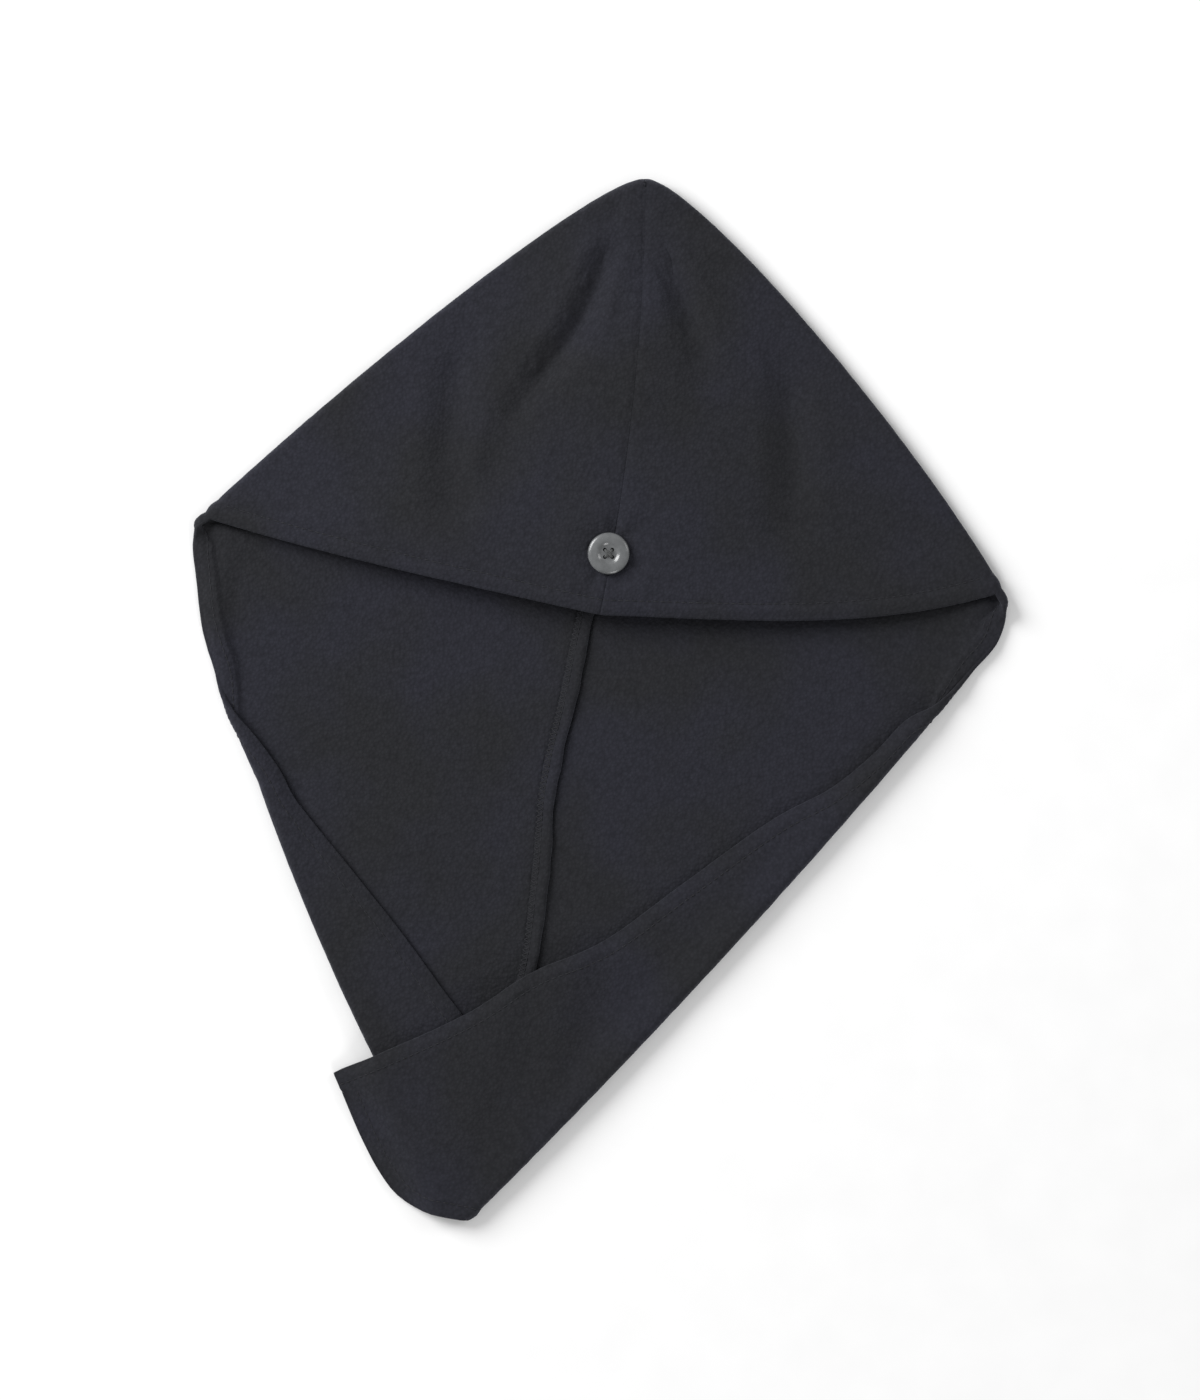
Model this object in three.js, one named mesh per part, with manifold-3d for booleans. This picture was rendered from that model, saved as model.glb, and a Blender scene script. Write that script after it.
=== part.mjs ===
// A hair turban towel lying flat: a pointed hood with a button at the forehead, and a long tapering tail
// whose two sides are folded inward. Two mirrored towelling panels meet at one long seam that runs from the
// rim over the peak and down the back to the end of the tail.
// Millimetres. X runs across the opening, Y from the tail to the peak, Z up from the surface it lies on.

import * as THREE from 'three';
import { mergeVertices } from 'three/addons/utils/BufferGeometryUtils.js';
import Module from 'manifold-3d';

const wasm = await Module();
wasm.setup();

// Driving dimensions of the cloth
const cloth = 2.0;            // towelling with its pile
const hemWidth = 10;          // cloth turned in along each free edge
const hemExtra = 1.4;         // what the turned-in cloth adds
const seamGap = 0.3;          // between the two panels along the long seam
const layGap = 0.4;           // between layers that lie on each other

// Driving dimensions of the outline, measured from the middle of the rim
const hoodLength = 209.8;     // rim to peak
const peakShift = 21.6;       // how far the peak lies to the right of the rim's middle
const leftReach = 190.6;      // rim's middle to the left corner, across
const leftLift = 49;          // left corner above the rim's middle
const rightReach = 193.9;     // rim's middle to the right corner, across
const rightLift = 12;         // right corner above the rim's middle
const tailLength = 291.4;     // rim to the end of the tail
const tailLean = 69;          // how far the end of the seam lies to the left of the rim's middle
const leftFlapWidth = 50;     // widest part of the tail's left side that is folded inward
const rightFlapWidth = 95;    // widest part of the right side, folded over the left one

// Driving dimensions of the layers' heights
const rimHeight = 12.5;       // middle of the rim's cloth above the surface, at the seam
const crownShare = 0.65;      // the hood keeps that height up to this share of its length
const domePower = 0.75;       // below 1, the front stays full further towards its folded edges
const foldRadius = 2.3;       // middle of the cloth round the hood's folded edges
const peakRadius = 3.3;       // the same at the peak, where the seam's allowances are inside
const creaseRadius = 2.8;     // the same round the creases of the tail, wide enough for the hem
const flatCreaseRadius = 1.9; // round the left crease below the hem, under the right flap
const settleLength = 16;      // how far past a crease the folded side has come down flat
const hemLeaves = { from: 20, to: 60 };     // along the left crease, where its hem has moved off it
const ridgeRise = { from: -34, to: -14 };   // left of the seam, where the right flap climbs the ridge
const flapRise = { from: -6, to: 10 };      // the same for the left flap and its hem
const flapDroop = { from: 3, to: 20 };      // past the left crease, where the right flap drops

// Driving dimensions of the seam's allowances
const ridgeWidth = 8;
const ridgeThickness = 1.5;
const ridgePeakWidth = 3.5;   // trimmed where it turns over the peak
const ridgeSide = 3.2;        // the allowances are pressed to the left of the stitching
const ridgePeakSide = 0.2;
const ridgeTrim = { from: 0.8, to: 0.93 };  // shares of hoodLength where the trimming starts and ends
const ridgeEnd = 0.985;       // share of each stretch of the seam that the ridge covers

// Driving dimensions of the button and its thread
const buttonDiameter = 20;
const buttonThickness = 3.4;
const buttonRimWidth = 5.4;
const buttonDish = 1.1;       // depth of the hollow inside the rim
const buttonUp = 29.3;        // button's middle above the rim's middle
const buttonShift = 4.1;
const buttonSink = 1.2;       // how far its stitches pull the cloth down
const buttonSeatReach = { from: 0.6, to: 1.15 };  // that dent, in diameters from the button's middle
const buttonGap = 0.3;        // over the cloth, filled by the thread shank
const buttonWellRadius = 2.5; // the four holes' middles
const buttonHole = 1.8;
const threadDiameter = 1.2;

// Driving dimensions of the elastic loop, which is hidden inside the folded tail
const elasticDiameter = 2.2;
const loopWidth = 10;
const loopLength = 28;
const loopInset = 12;         // from the end of the seam up to the loop's root
const loopAside = 6.5;        // from the seam to the loop's middle
const loopHeading = { x: 0.42, y: 0.91 };

// Mesh steps
const hoodRows = 16;
const topColumns = 14;
const arcColumns = 5;
const backRows = 24;
const flatColumns = 6;
const creaseColumns = 4;
const flapColumns = 7;
const edgeBand = 10;          // strip along the free edge that the crease and flap columns cover at least
const cornerRow = 0.006;      // second row of the back, close under the corner, as a share of its length
const topSpacing = 1.25;      // above 1, the front's columns are closer together at the seam
const backSpacing = 1.2;      // the same for the rows of the back at the rim

const bottomHeight = cloth / 2;
const buttonSeat = rimHeight - buttonSink;
const restHeight = cloth * 1.5 + layGap;
const bowReach = 60;          // how far from a crease its bow still moves the cloth
const edgeRound = 0.45;       // share of the thickness by which a free edge rounds out
const backColumns = flatColumns + creaseColumns + flapColumns;

// The long seam on the back, from under the rim to the end of the tail.
// down is a share of tailLength, aside a share of tailLean.
const backSeamTable = [
  { down: 0.016, aside: 0.07 },
  { down: 0.074, aside: 0.12 },
  { down: 0.140, aside: 0.175 },
  { down: 0.222, aside: 0.26 },
  { down: 0.305, aside: 0.325 },
  { down: 0.387, aside: 0.35 },
  { down: 0.469, aside: 0.385 },
  { down: 0.581, aside: 0.45 },
  { down: 0.772, aside: 0.68 },
  { down: 0.964, aside: 1.0 },
];

// Each side of the outline. edge is the free edge from the corner to the start of the crease: out is a share
// of the reach, down of tailLength. flap is the free edge from there on and end is the end of the tail:
// along is a share of the crease's length, wide of the flap's width, and negative is on the back.
// creaseBow is how far the crease bows out, as a share of its length.
const sides = {
  left: {
    sign: -1,
    reach: leftReach,
    lift: leftLift,
    flapWidth: leftFlapWidth,
    cornerPull: { out: 0.356, up: 0.304 },
    peakPull: 0.123,
    rimSag: 0.01,
    creaseStart: { out: 0.862, down: 0.275 },
    creaseEnd: { out: 0.413, down: 0.924 },
    creaseBow: 0.023,
    thinCrease: true,
    edge: [
      { out: 1.0, down: -0.168 },
      { out: 1.018, down: -0.156 },
      { out: 1.026, down: -0.115 },
      { out: 1.018, down: -0.066 },
      { out: 1.003, down: 0.016 },
      { out: 0.988, down: 0.055 },
      { out: 0.968, down: 0.099 },
      { out: 0.955, down: 0.209 },
      { out: 0.944, down: 0.252 },
    ],
    flap: [
      { along: 0.0, wide: 0.21 },
      { along: 0.06, wide: 0.24 },
      { along: 0.116, wide: 0.30 },
      { along: 0.253, wide: 0.46 },
      { along: 0.442, wide: 0.65 },
      { along: 0.636, wide: 0.80 },
      { along: 0.774, wide: 0.92 },
    ],
    end: [
      { along: 1.058, wide: -0.21 },
      { along: 1.0, wide: 0.0 },
      { along: 0.93, wide: 0.32 },
      { along: 0.86, wide: 0.64 },
      { along: 0.774, wide: 0.92 },
    ],
  },
  right: {
    sign: 1,
    reach: rightReach,
    lift: rightLift,
    flapWidth: rightFlapWidth,
    cornerPull: { out: 0.256, up: 0.4 },
    peakPull: 0.115,
    rimSag: 0.04,
    creaseStart: { out: 0.855, down: 0.150 },
    creaseEnd: { out: -0.289, down: 0.976 },
    creaseBow: 0.011,
    thinCrease: false,
    edge: [
      { out: 1.0, down: -0.041 },
      { out: 1.009, down: -0.022 },
      { out: 1.004, down: 0.010 },
      { out: 0.978, down: 0.053 },
      { out: 0.923, down: 0.096 },
    ],
    flap: [
      { along: 0.0, wide: 0.02 },
      { along: 0.05, wide: 0.085 },
      { along: 0.12, wide: 0.10 },
      { along: 0.20, wide: 0.145 },
      { along: 0.29, wide: 0.25 },
      { along: 0.45, wide: 0.36 },
      { along: 0.60, wide: 0.46 },
      { along: 0.70, wide: 0.61 },
      { along: 0.80, wide: 0.70 },
      { along: 0.94, wide: 0.90 },
      { along: 1.003, wide: 1.0 },
    ],
    end: [
      { along: 1.018, wide: -0.143 },
      { along: 1.028, wide: 0.0 },
      { along: 1.047, wide: 0.08 },
      { along: 1.064, wide: 0.18 },
      { along: 1.073, wide: 0.33 },
      { along: 1.066, wide: 0.48 },
      { along: 1.048, wide: 0.66 },
      { along: 1.019, wide: 0.88 },
      { along: 1.003, wide: 1.0 },
    ],
  },
};

// Dents and soft folds on the front of the hood. x0, y0, x1 and y1 are shares of hoodLength from the rim's
// middle, wide is half the width of the hollow as a share of hoodLength, and deep its depth as a share of
// rimHeight.
const hoodDents = [
  { x0: 0.085, y0: 0.80, x1: 0.070, y1: 0.90, wide: 0.060, deep: 0.17 },
  { x0: 0.012, y0: 0.80, x1: -0.057, y1: 0.64, wide: 0.034, deep: 0.17 },
  { x0: -0.057, y0: 0.64, x1: -0.137, y1: 0.55, wide: 0.036, deep: 0.17 },
  { x0: -0.137, y0: 0.55, x1: -0.250, y1: 0.33, wide: 0.046, deep: 0.08 },
  { x0: 0.149, y0: 0.80, x1: 0.206, y1: 0.67, wide: 0.034, deep: 0.14 },
  { x0: 0.206, y0: 0.67, x1: 0.240, y1: 0.56, wide: 0.042, deep: 0.08 },
  { x0: -0.332, y0: 0.63, x1: -0.332, y1: 0.26, wide: 0.046, deep: 0.11 },
  { x0: 0.435, y0: 0.54, x1: 0.435, y1: 0.22, wide: 0.046, deep: 0.11 },
];

const clamp01 = (x) => Math.min(1, Math.max(0, x));
const mix = (a, b, share) => a + (b - a) * share;

function smooth(from, to, x) {
  const share = clamp01((x - from) / (to - from));
  return share * share * (3 - 2 * share);
}

function flatPoint(x, y) {
  return new THREE.Vector3(x, y, 0);
}

// The seam in plan

const peak = flatPoint(peakShift, hoodLength);
const seamPull = flatPoint(peakShift, hoodLength / 2);
const rimMiddle = flatPoint(0, 0);

const backSeam = new THREE.CatmullRomCurve3(
  backSeamTable.map((row) => flatPoint(-row.aside * tailLean, -row.down * tailLength)),
  false,
  'centripetal',
);
const seamUnderRim = backSeam.getPoint(0);
const frontSeam = new THREE.QuadraticBezierCurve3(rimMiddle, seamPull, peak);
const hoodBackSeam = new THREE.QuadraticBezierCurve3(seamUnderRim, seamPull, peak);

// Unit vector across the seam, to the right, at a share of one of its stretches

function acrossSeam(curve, share) {
  const along = curve.getTangent(share);
  return new THREE.Vector3(Math.abs(along.y), -along.x * Math.sign(along.y), 0).normalize();
}

function segmentShare(x, y, x0, y0, x1, y1) {
  const dx = x1 - x0;
  const dy = y1 - y0;
  return clamp01(((x - x0) * dx + (y - y0) * dy) / (dx * dx + dy * dy));
}

function distanceToSegment(x, y, x0, y0, x1, y1) {
  const share = segmentShare(x, y, x0, y0, x1, y1);
  return Math.hypot(x - mix(x0, x1, share), y - mix(y0, y1, share));
}

function distanceToPath(point, path) {
  let nearest = Infinity;
  for (let i = 1; i < path.length; i += 1) {
    const a = path[i - 1];
    const b = path[i];
    nearest = Math.min(nearest, distanceToSegment(point.x, point.y, a.x, a.y, b.x, b.y));
  }
  return nearest;
}

// How far a point in plan lies to the left of the back seam

const backSeamPath = backSeam.getSpacedPoints(60);

function leftOfSeam(x, y) {
  let nearest = Infinity;
  let signed = 0;
  for (let i = 1; i < backSeamPath.length; i += 1) {
    const a = backSeamPath[i - 1];
    const b = backSeamPath[i];
    const distance = distanceToSegment(x, y, a.x, a.y, b.x, b.y);
    if (distance < nearest) {
      nearest = distance;
      signed = (b.x - a.x) * (y - a.y) - (b.y - a.y) * (x - a.x) < 0 ? distance : -distance;
    }
  }
  return signed;
}

// Height of the hem's turned-in cloth at a distance from the free edge

function hemAt(distance) {
  return hemExtra * (1 - smooth(hemWidth - 1.5, hemWidth + 1.5, distance));
}

// The crease that the tail's side is folded on: a straight line with along and across coordinates

function creaseOf(side) {
  const place = (row) => flatPoint(side.sign * row.out * side.reach, -row.down * tailLength);
  const start = place(side.creaseStart);
  const end = place(side.creaseEnd);
  const length = start.distanceTo(end);
  const along = end.clone().sub(start).normalize();
  const outward = new THREE.Vector3(-along.y, along.x, 0);
  if (outward.x * side.sign < 0) {
    outward.negate();
  }
  return { start, length, along, outward };
}

function creaseRadiusAt(side, along) {
  const flattened = smooth(hemLeaves.from, hemLeaves.to, along);
  return side.thinCrease ? mix(creaseRadius, flatCreaseRadius, flattened) : creaseRadius;
}

// Where a point at a width on the flap lies in the flat cut of the panel

function unfolded(side, crease, row) {
  const along = row.along * crease.length;
  const wide = row.wide * side.flapWidth;
  const radius = creaseRadiusAt(side, along);
  const roundTheCrease = (Math.PI - 2) * radius * clamp01(wide / radius);
  return crease.start.clone()
    .addScaledVector(crease.along, along)
    .addScaledVector(crease.outward, wide + roundTheCrease);
}

const leftCrease = creaseOf(sides.left);

// Height of the right flap where it lies on what is under it: the back, the seam's ridge and the elastic
// loop, then the left flap and its hem, and past the left crease down to the surface

function rightFlapHeight(x, y) {
  const overRidge = 1.5 * cloth + 2 * layGap + Math.max(ridgeThickness, elasticDiameter);
  const overLeftFlap = 2 * cloth + hemExtra + 2 * layGap + cloth / 2;
  const left = leftOfSeam(x, y);
  const beyond = flatPoint(x, y).sub(leftCrease.start).dot(leftCrease.outward);
  const onLayers = mix(
    mix(restHeight, overRidge, smooth(ridgeRise.from, ridgeRise.to, left)),
    overLeftFlap,
    smooth(flapRise.from, flapRise.to, left),
  );
  return mix(onLayers, bottomHeight + layGap, smooth(flapDroop.from, flapDroop.to, beyond));
}

// From the flat cut to the folded panel: flat up to the crease, round it, and back over the top.
// edgeDistance is how far the point is from the free edge.

function fold(side, crease, point, edgeDistance) {
  const offset = point.clone().sub(crease.start);
  const along = offset.dot(crease.along);
  const radius = creaseRadiusAt(side, along);
  const arcStart = -radius - cloth / 2;
  const past = offset.dot(crease.outward) - arcStart;
  let across = arcStart + past;
  let height = bottomHeight;
  if (past > Math.PI * radius) {
    const beyondArc = past - Math.PI * radius;
    across = arcStart - beyondArc;
    const place = crease.start.clone()
      .addScaledVector(crease.along, along)
      .addScaledVector(crease.outward, across);
    const lie = side.thinCrease ? restHeight : rightFlapHeight(place.x, place.y);
    const settled = smooth(0, settleLength, beyondArc);
    height = mix(bottomHeight + 2 * radius, lie + hemAt(edgeDistance), settled);
  } else if (past > 0) {
    across = arcStart + radius * Math.sin(past / radius);
    height = bottomHeight + radius * (1 - Math.cos(past / radius));
  }
  const share = clamp01(along / crease.length);
  const bow = 4 * share * (1 - share) * side.creaseBow * crease.length * smooth(-bowReach, 0, across);
  const folded = crease.start.clone()
    .addScaledVector(crease.along, along)
    .addScaledVector(crease.outward, across + bow);
  folded.z = height;
  return folded;
}

// The front of the hood

function dentAt(x, y) {
  let depth = 0;
  for (const dent of hoodDents) {
    const wide = dent.wide * hoodLength;
    const distance = distanceToSegment(
      x, y,
      dent.x0 * hoodLength, dent.y0 * hoodLength,
      dent.x1 * hoodLength, dent.y1 * hoodLength,
    );
    depth = Math.max(depth, dent.deep * rimHeight * (1 - smooth(0, 2 * wide, distance)));
  }
  return depth;
}

// Radius of the folded edge: wide at the corners, where the hem is inside, and again towards the peak

function hoodFoldRadius(up) {
  const besideHem = mix(creaseRadius, foldRadius, smooth(0.04, 0.12, up));
  return mix(besideHem, peakRadius, smooth(0.7, 1, up));
}

// Height of the front's cloth. up runs from the rim to the peak, out from the seam to the folded edge.

function frontHeight(x, y, up, out) {
  const atFold = bottomHeight + 2 * hoodFoldRadius(up);
  const crown = (rimHeight - atFold) * (1 - smooth(crownShare, 1, up));
  const domed = smooth(0, 1, 1 - out) ** domePower;
  const dentFade = smooth(0, 0.25, 1 - out) * smooth(0.02, 0.1, up) * (1 - smooth(0.9, 1, up));
  const fromSeam = Math.abs(x - frontSeam.getPoint(up).x);
  const overRidges = (cloth + seamGap * 2 + ridgeThickness) * 2 - bottomHeight;
  const held = overRidges * (1 - smooth(ridgeWidth, 2.5 * ridgeWidth, fromSeam));
  const height = Math.max(atFold + crown * domed - dentAt(x, y) * dentFade, held);
  const fromButton = Math.hypot(x - buttonShift, y - buttonUp) / buttonDiameter;
  return mix(buttonSeat, height, smooth(buttonSeatReach.from, buttonSeatReach.to, fromButton));
}

// The panels

function panelShape(side) {
  const crease = creaseOf(side);
  const corner = flatPoint(side.sign * side.reach, side.lift);
  const foldedEdge = new THREE.CubicBezierCurve3(
    corner,
    flatPoint(
      side.sign * side.reach * (1 - side.cornerPull.out),
      side.lift + side.cornerPull.up * hoodLength,
    ),
    flatPoint(peak.x + side.sign * side.peakPull * side.reach, peak.y),
    peak,
  );
  const edgePoints = side.edge.map(
    (row) => flatPoint(side.sign * row.out * side.reach, -row.down * tailLength),
  );
  edgePoints[0].copy(corner);
  const flapPoints = side.flap.map((row) => unfolded(side, crease, row));
  const freeEdge = new THREE.CatmullRomCurve3([...edgePoints, ...flapPoints], false, 'centripetal');
  const endPoints = side.end.map((row) => unfolded(side, crease, row));
  endPoints[0].copy(backSeam.getPoint(1));
  const tailEnd = new THREE.CatmullRomCurve3(endPoints, false, 'centripetal');
  return { side, crease, corner, foldedEdge, freeEdge, tailEnd, edgePath: freeEdge.getSpacedPoints(90) };
}

// Rows of the hood from the rim to the peak. Each goes from the front seam out to the folded edge, round it,
// and back under to the seam.

function hoodRowShares() {
  const start = edgeRound * cloth;
  const hem = [start, start + hemWidth * 0.3, start + hemWidth * 0.7, start + hemWidth * 1.15];
  const button = [-0.5, 0, 0.55].map((share) => buttonUp + share * buttonDiameter);
  const shares = [...hem, ...button].map((distance) => distance / hoodLength);
  const last = shares[shares.length - 1];
  const rest = hoodRows + 1 - shares.length;
  for (let i = 1; i <= rest; i += 1) {
    shares.push(mix(last, 1, i / rest));
  }
  return shares;
}

function hoodRow(shape, up, columnShares) {
  const { side, foldedEdge, edgePath } = shape;
  const radius = hoodFoldRadius(up);
  const outline = foldedEdge.getPoint(up);
  const along = foldedEdge.getTangent(up);
  const outward = new THREE.Vector3(-along.y, along.x, 0).multiplyScalar(side.sign < 0 ? 1 : -1);
  if (outward.y < 0) {
    outward.negate();
  }
  const arcMiddle = outline.clone().addScaledVector(outward, -radius - cloth / 2);
  const fromRim = up * hoodLength;
  const row = [];

  const frontStart = frontSeam.getPoint(up)
    .addScaledVector(acrossSeam(frontSeam, up), side.sign * seamGap / 2);
  const backEnd = hoodBackSeam.getPoint(up)
    .addScaledVector(acrossSeam(hoodBackSeam, up), side.sign * seamGap / 2);
  if (up === 1) {
    frontStart.y = arcMiddle.y;
    backEnd.y = arcMiddle.y;
    arcMiddle.x = frontStart.x;
  }

  for (let i = 0; i <= topColumns; i += 1) {
    const out = (i / topColumns) ** topSpacing;
    const point = frontStart.clone().lerp(arcMiddle, out);
    const sagShape = 4 * out * (1 - out) * (0.5 + out);
    point.y -= side.rimSag * side.reach * (1 - up) * sagShape;
    point.z = frontHeight(point.x, point.y, up, out);
    row.push({ point, hem: hemAt(fromRim), seam: i === 0 || up === 1, across: acrossSeam(frontSeam, up) });
  }
  for (let i = 1; i < arcColumns; i += 1) {
    const angle = Math.PI * (0.5 - i / arcColumns);
    const point = arcMiddle.clone().addScaledVector(outward, radius * Math.cos(angle));
    point.z = bottomHeight + radius * (1 + Math.sin(angle));
    row.push({ point, hem: hemAt(fromRim), seam: up === 1, across: acrossSeam(frontSeam, up) });
  }
  for (let i = 0; i <= backColumns; i += 1) {
    const point = arcMiddle.clone().lerp(backEnd, 1 - columnShares[backColumns - i]);
    point.z = bottomHeight;
    const hem = hemAt(distanceToPath(point, edgePath));
    const atSeam = i === backColumns || up === 1;
    row.push({ point, hem, seam: atSeam, across: acrossSeam(hoodBackSeam, up) });
  }
  return row;
}

// A row of the back in the flat cut, from the seam to the free edge, and where its columns fall

function cutRow(shape, down) {
  const { side, freeEdge, tailEnd } = shape;
  const start = backSeam.getPointAt(down)
    .addScaledVector(acrossSeam(backSeam, backSeam.getUtoTmapping(down)), side.sign * seamGap / 2);
  const finish = freeEdge.getPointAt(down);
  const bend = smooth(0.62, 1, down);
  return (share) => {
    const straight = start.clone().lerp(finish, share);
    const endStraight = tailEnd.getPoint(0).lerp(tailEnd.getPoint(1), share);
    return straight.add(tailEnd.getPointAt(share).sub(endStraight).multiplyScalar(bend));
  };
}

function columnShares(shape, row) {
  const { side, crease } = shape;
  const steps = 200;
  let length = 0;
  let arcStart = Infinity;
  let arcEnd = Infinity;
  let previous = row(0);
  for (let i = 1; i <= steps; i += 1) {
    const point = row(i / steps);
    length += point.distanceTo(previous);
    previous = point;
    const offset = point.clone().sub(crease.start);
    const radius = creaseRadiusAt(side, offset.dot(crease.along));
    const past = offset.dot(crease.outward) + radius + cloth / 2;
    if (past > 0 && arcStart === Infinity) {
      arcStart = length;
    }
    if (past > Math.PI * radius && arcEnd === Infinity) {
      arcEnd = length;
    }
  }
  const last = length - edgeRound * cloth;
  const flatEnd = Math.min(last - edgeBand, arcStart);
  const curveEnd = Math.min(arcEnd, last - edgeBand * 0.45);
  const hemStart = Math.max(last - hemWidth, mix(curveEnd, last, 0.5));
  const shares = [];
  for (let i = 0; i < flatColumns; i += 1) {
    shares.push(flatEnd * i / flatColumns / length);
  }
  for (let i = 0; i < creaseColumns; i += 1) {
    shares.push(mix(flatEnd, curveEnd, i / creaseColumns) / length);
  }
  for (let i = 0; i < flapColumns - 2; i += 1) {
    shares.push(mix(curveEnd, hemStart, (i / (flapColumns - 2)) ** 1.4) / length);
  }
  shares.push(hemStart / length, mix(hemStart, last, 0.6) / length, last / length);
  return shares;
}

function backRow(shape, down) {
  const { side, crease, edgePath } = shape;
  const row = cutRow(shape, down);
  const across = acrossSeam(backSeam, backSeam.getUtoTmapping(down));
  return columnShares(shape, row).map((share, i) => {
    const cut = row(share);
    const edgeDistance = distanceToPath(cut, edgePath);
    const point = fold(side, crease, cut, edgeDistance);
    return { point, hem: hemAt(edgeDistance), seam: i === 0, across };
  });
}

// Welds rows of points into one sheet of quads

function sheetOf(grids) {
  const points = [];
  const faces = [];
  const places = new Map();
  const indexOf = (entry) => {
    const key = entry.point.toArray().map((value) => Math.round(value * 1e4)).join(' ');
    if (!places.has(key)) {
      places.set(key, points.length);
      points.push(entry);
    }
    return places.get(key);
  };
  for (const grid of grids) {
    const indices = grid.map((row) => row.map(indexOf));
    for (let j = 1; j < indices.length; j += 1) {
      for (let i = 1; i < indices[j].length; i += 1) {
        const [a, b, c, d] = [indices[j - 1][i - 1], indices[j - 1][i], indices[j][i], indices[j][i - 1]];
        faces.push([a, b, c], [a, c, d]);
      }
    }
  }
  return { points, faces: faces.filter(([a, b, c]) => a !== b && b !== c && a !== c) };
}

// Gives a sheet its thickness: an outer and an inner skin, rounded free edges and flat seam edges

function thicken(sheet, turned) {
  const { points } = sheet;
  const faces = turned ? sheet.faces.map(([a, b, c]) => [a, c, b]) : sheet.faces;
  const normals = points.map(() => new THREE.Vector3());
  const directed = new Map();
  for (const [a, b, c] of faces) {
    const u = points[b].point.clone().sub(points[a].point);
    const v = points[c].point.clone().sub(points[a].point);
    const normal = u.cross(v);
    for (const [from, to, other] of [[a, b, c], [b, c, a], [c, a, b]]) {
      normals[from].add(normal);
      directed.set(`${from} ${to}`, { from, to, other });
    }
  }
  const rims = [...directed.values()].filter((edge) => !directed.has(`${edge.to} ${edge.from}`));
  const positions = [];
  const skins = points.map((entry, i) => {
    const normal = normals[i].normalize();
    if (entry.seam) {
      normal.addScaledVector(entry.across, -normal.dot(entry.across)).normalize();
    }
    const outer = entry.point.clone().addScaledVector(normal, cloth / 2);
    const inner = entry.point.clone().addScaledVector(normal, -cloth / 2 - entry.hem);
    positions.push(outer, inner);
    return { outer: 2 * i, inner: 2 * i + 1 };
  });
  const triangles = [];
  for (const [a, b, c] of faces) {
    triangles.push([skins[a].outer, skins[b].outer, skins[c].outer]);
    triangles.push([skins[a].inner, skins[c].inner, skins[b].inner]);
  }
  const isSeam = (edge) => points[edge.from].seam && points[edge.to].seam;
  const outwards = new Map();
  for (const edge of rims.filter((rim) => !isSeam(rim))) {
    const run = points[edge.to].point.clone().sub(points[edge.from].point);
    for (const end of [edge.from, edge.to]) {
      const sum = outwards.get(end) ?? new THREE.Vector3();
      sum.add(run.clone().cross(normals[end]).normalize());
      outwards.set(end, sum);
    }
  }
  const round = new Map();
  for (const [end, sum] of outwards) {
    const { outer, inner } = skins[end];
    if (points[end].seam) {
      sum.addScaledVector(points[end].across, -sum.dot(points[end].across));
    }
    const thickness = positions[outer].distanceTo(positions[inner]);
    const middle = positions[outer].clone().add(positions[inner]).multiplyScalar(0.5);
    round.set(end, positions.length);
    positions.push(middle.addScaledVector(sum.normalize(), edgeRound * thickness));
  }
  for (const edge of rims) {
    const [p, q] = [skins[edge.from], skins[edge.to]];
    if (isSeam(edge)) {
      triangles.push([q.outer, p.outer, p.inner], [q.outer, p.inner, q.inner]);
      continue;
    }
    const [m, n] = [round.get(edge.from), round.get(edge.to)];
    triangles.push([q.outer, p.outer, m], [q.outer, m, n], [n, m, p.inner], [n, p.inner, q.inner]);
    if (points[edge.from].seam) {
      triangles.push([p.outer, p.inner, m]);
    }
    if (points[edge.to].seam) {
      triangles.push([q.inner, q.outer, n]);
    }
  }
  return geometryOf(positions, triangles);
}

function geometryOf(positions, triangles) {
  const geometry = new THREE.BufferGeometry();
  const flat = positions.flatMap((point) => point.toArray());
  geometry.setAttribute('position', new THREE.Float32BufferAttribute(flat, 3));
  geometry.setIndex(triangles.flat());
  return geometry;
}

function panelGeometry(side) {
  const shape = panelShape(side);
  const firstShares = columnShares(shape, cutRow(shape, 0));
  const hood = hoodRowShares().map((up) => hoodRow(shape, up, firstShares));
  const back = [hood[0].slice(topColumns + arcColumns).reverse()];
  for (let j = 1; j <= backRows; j += 1) {
    back.push(backRow(shape, j === 1 ? cornerRow : (j / backRows) ** backSpacing));
  }
  return thicken(sheetOf([hood, back]), side.sign < 0);
}

// The seam's allowances: a flat ridge swept along the inside of the seam, from the hem over the peak to the
// end of the tail

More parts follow.
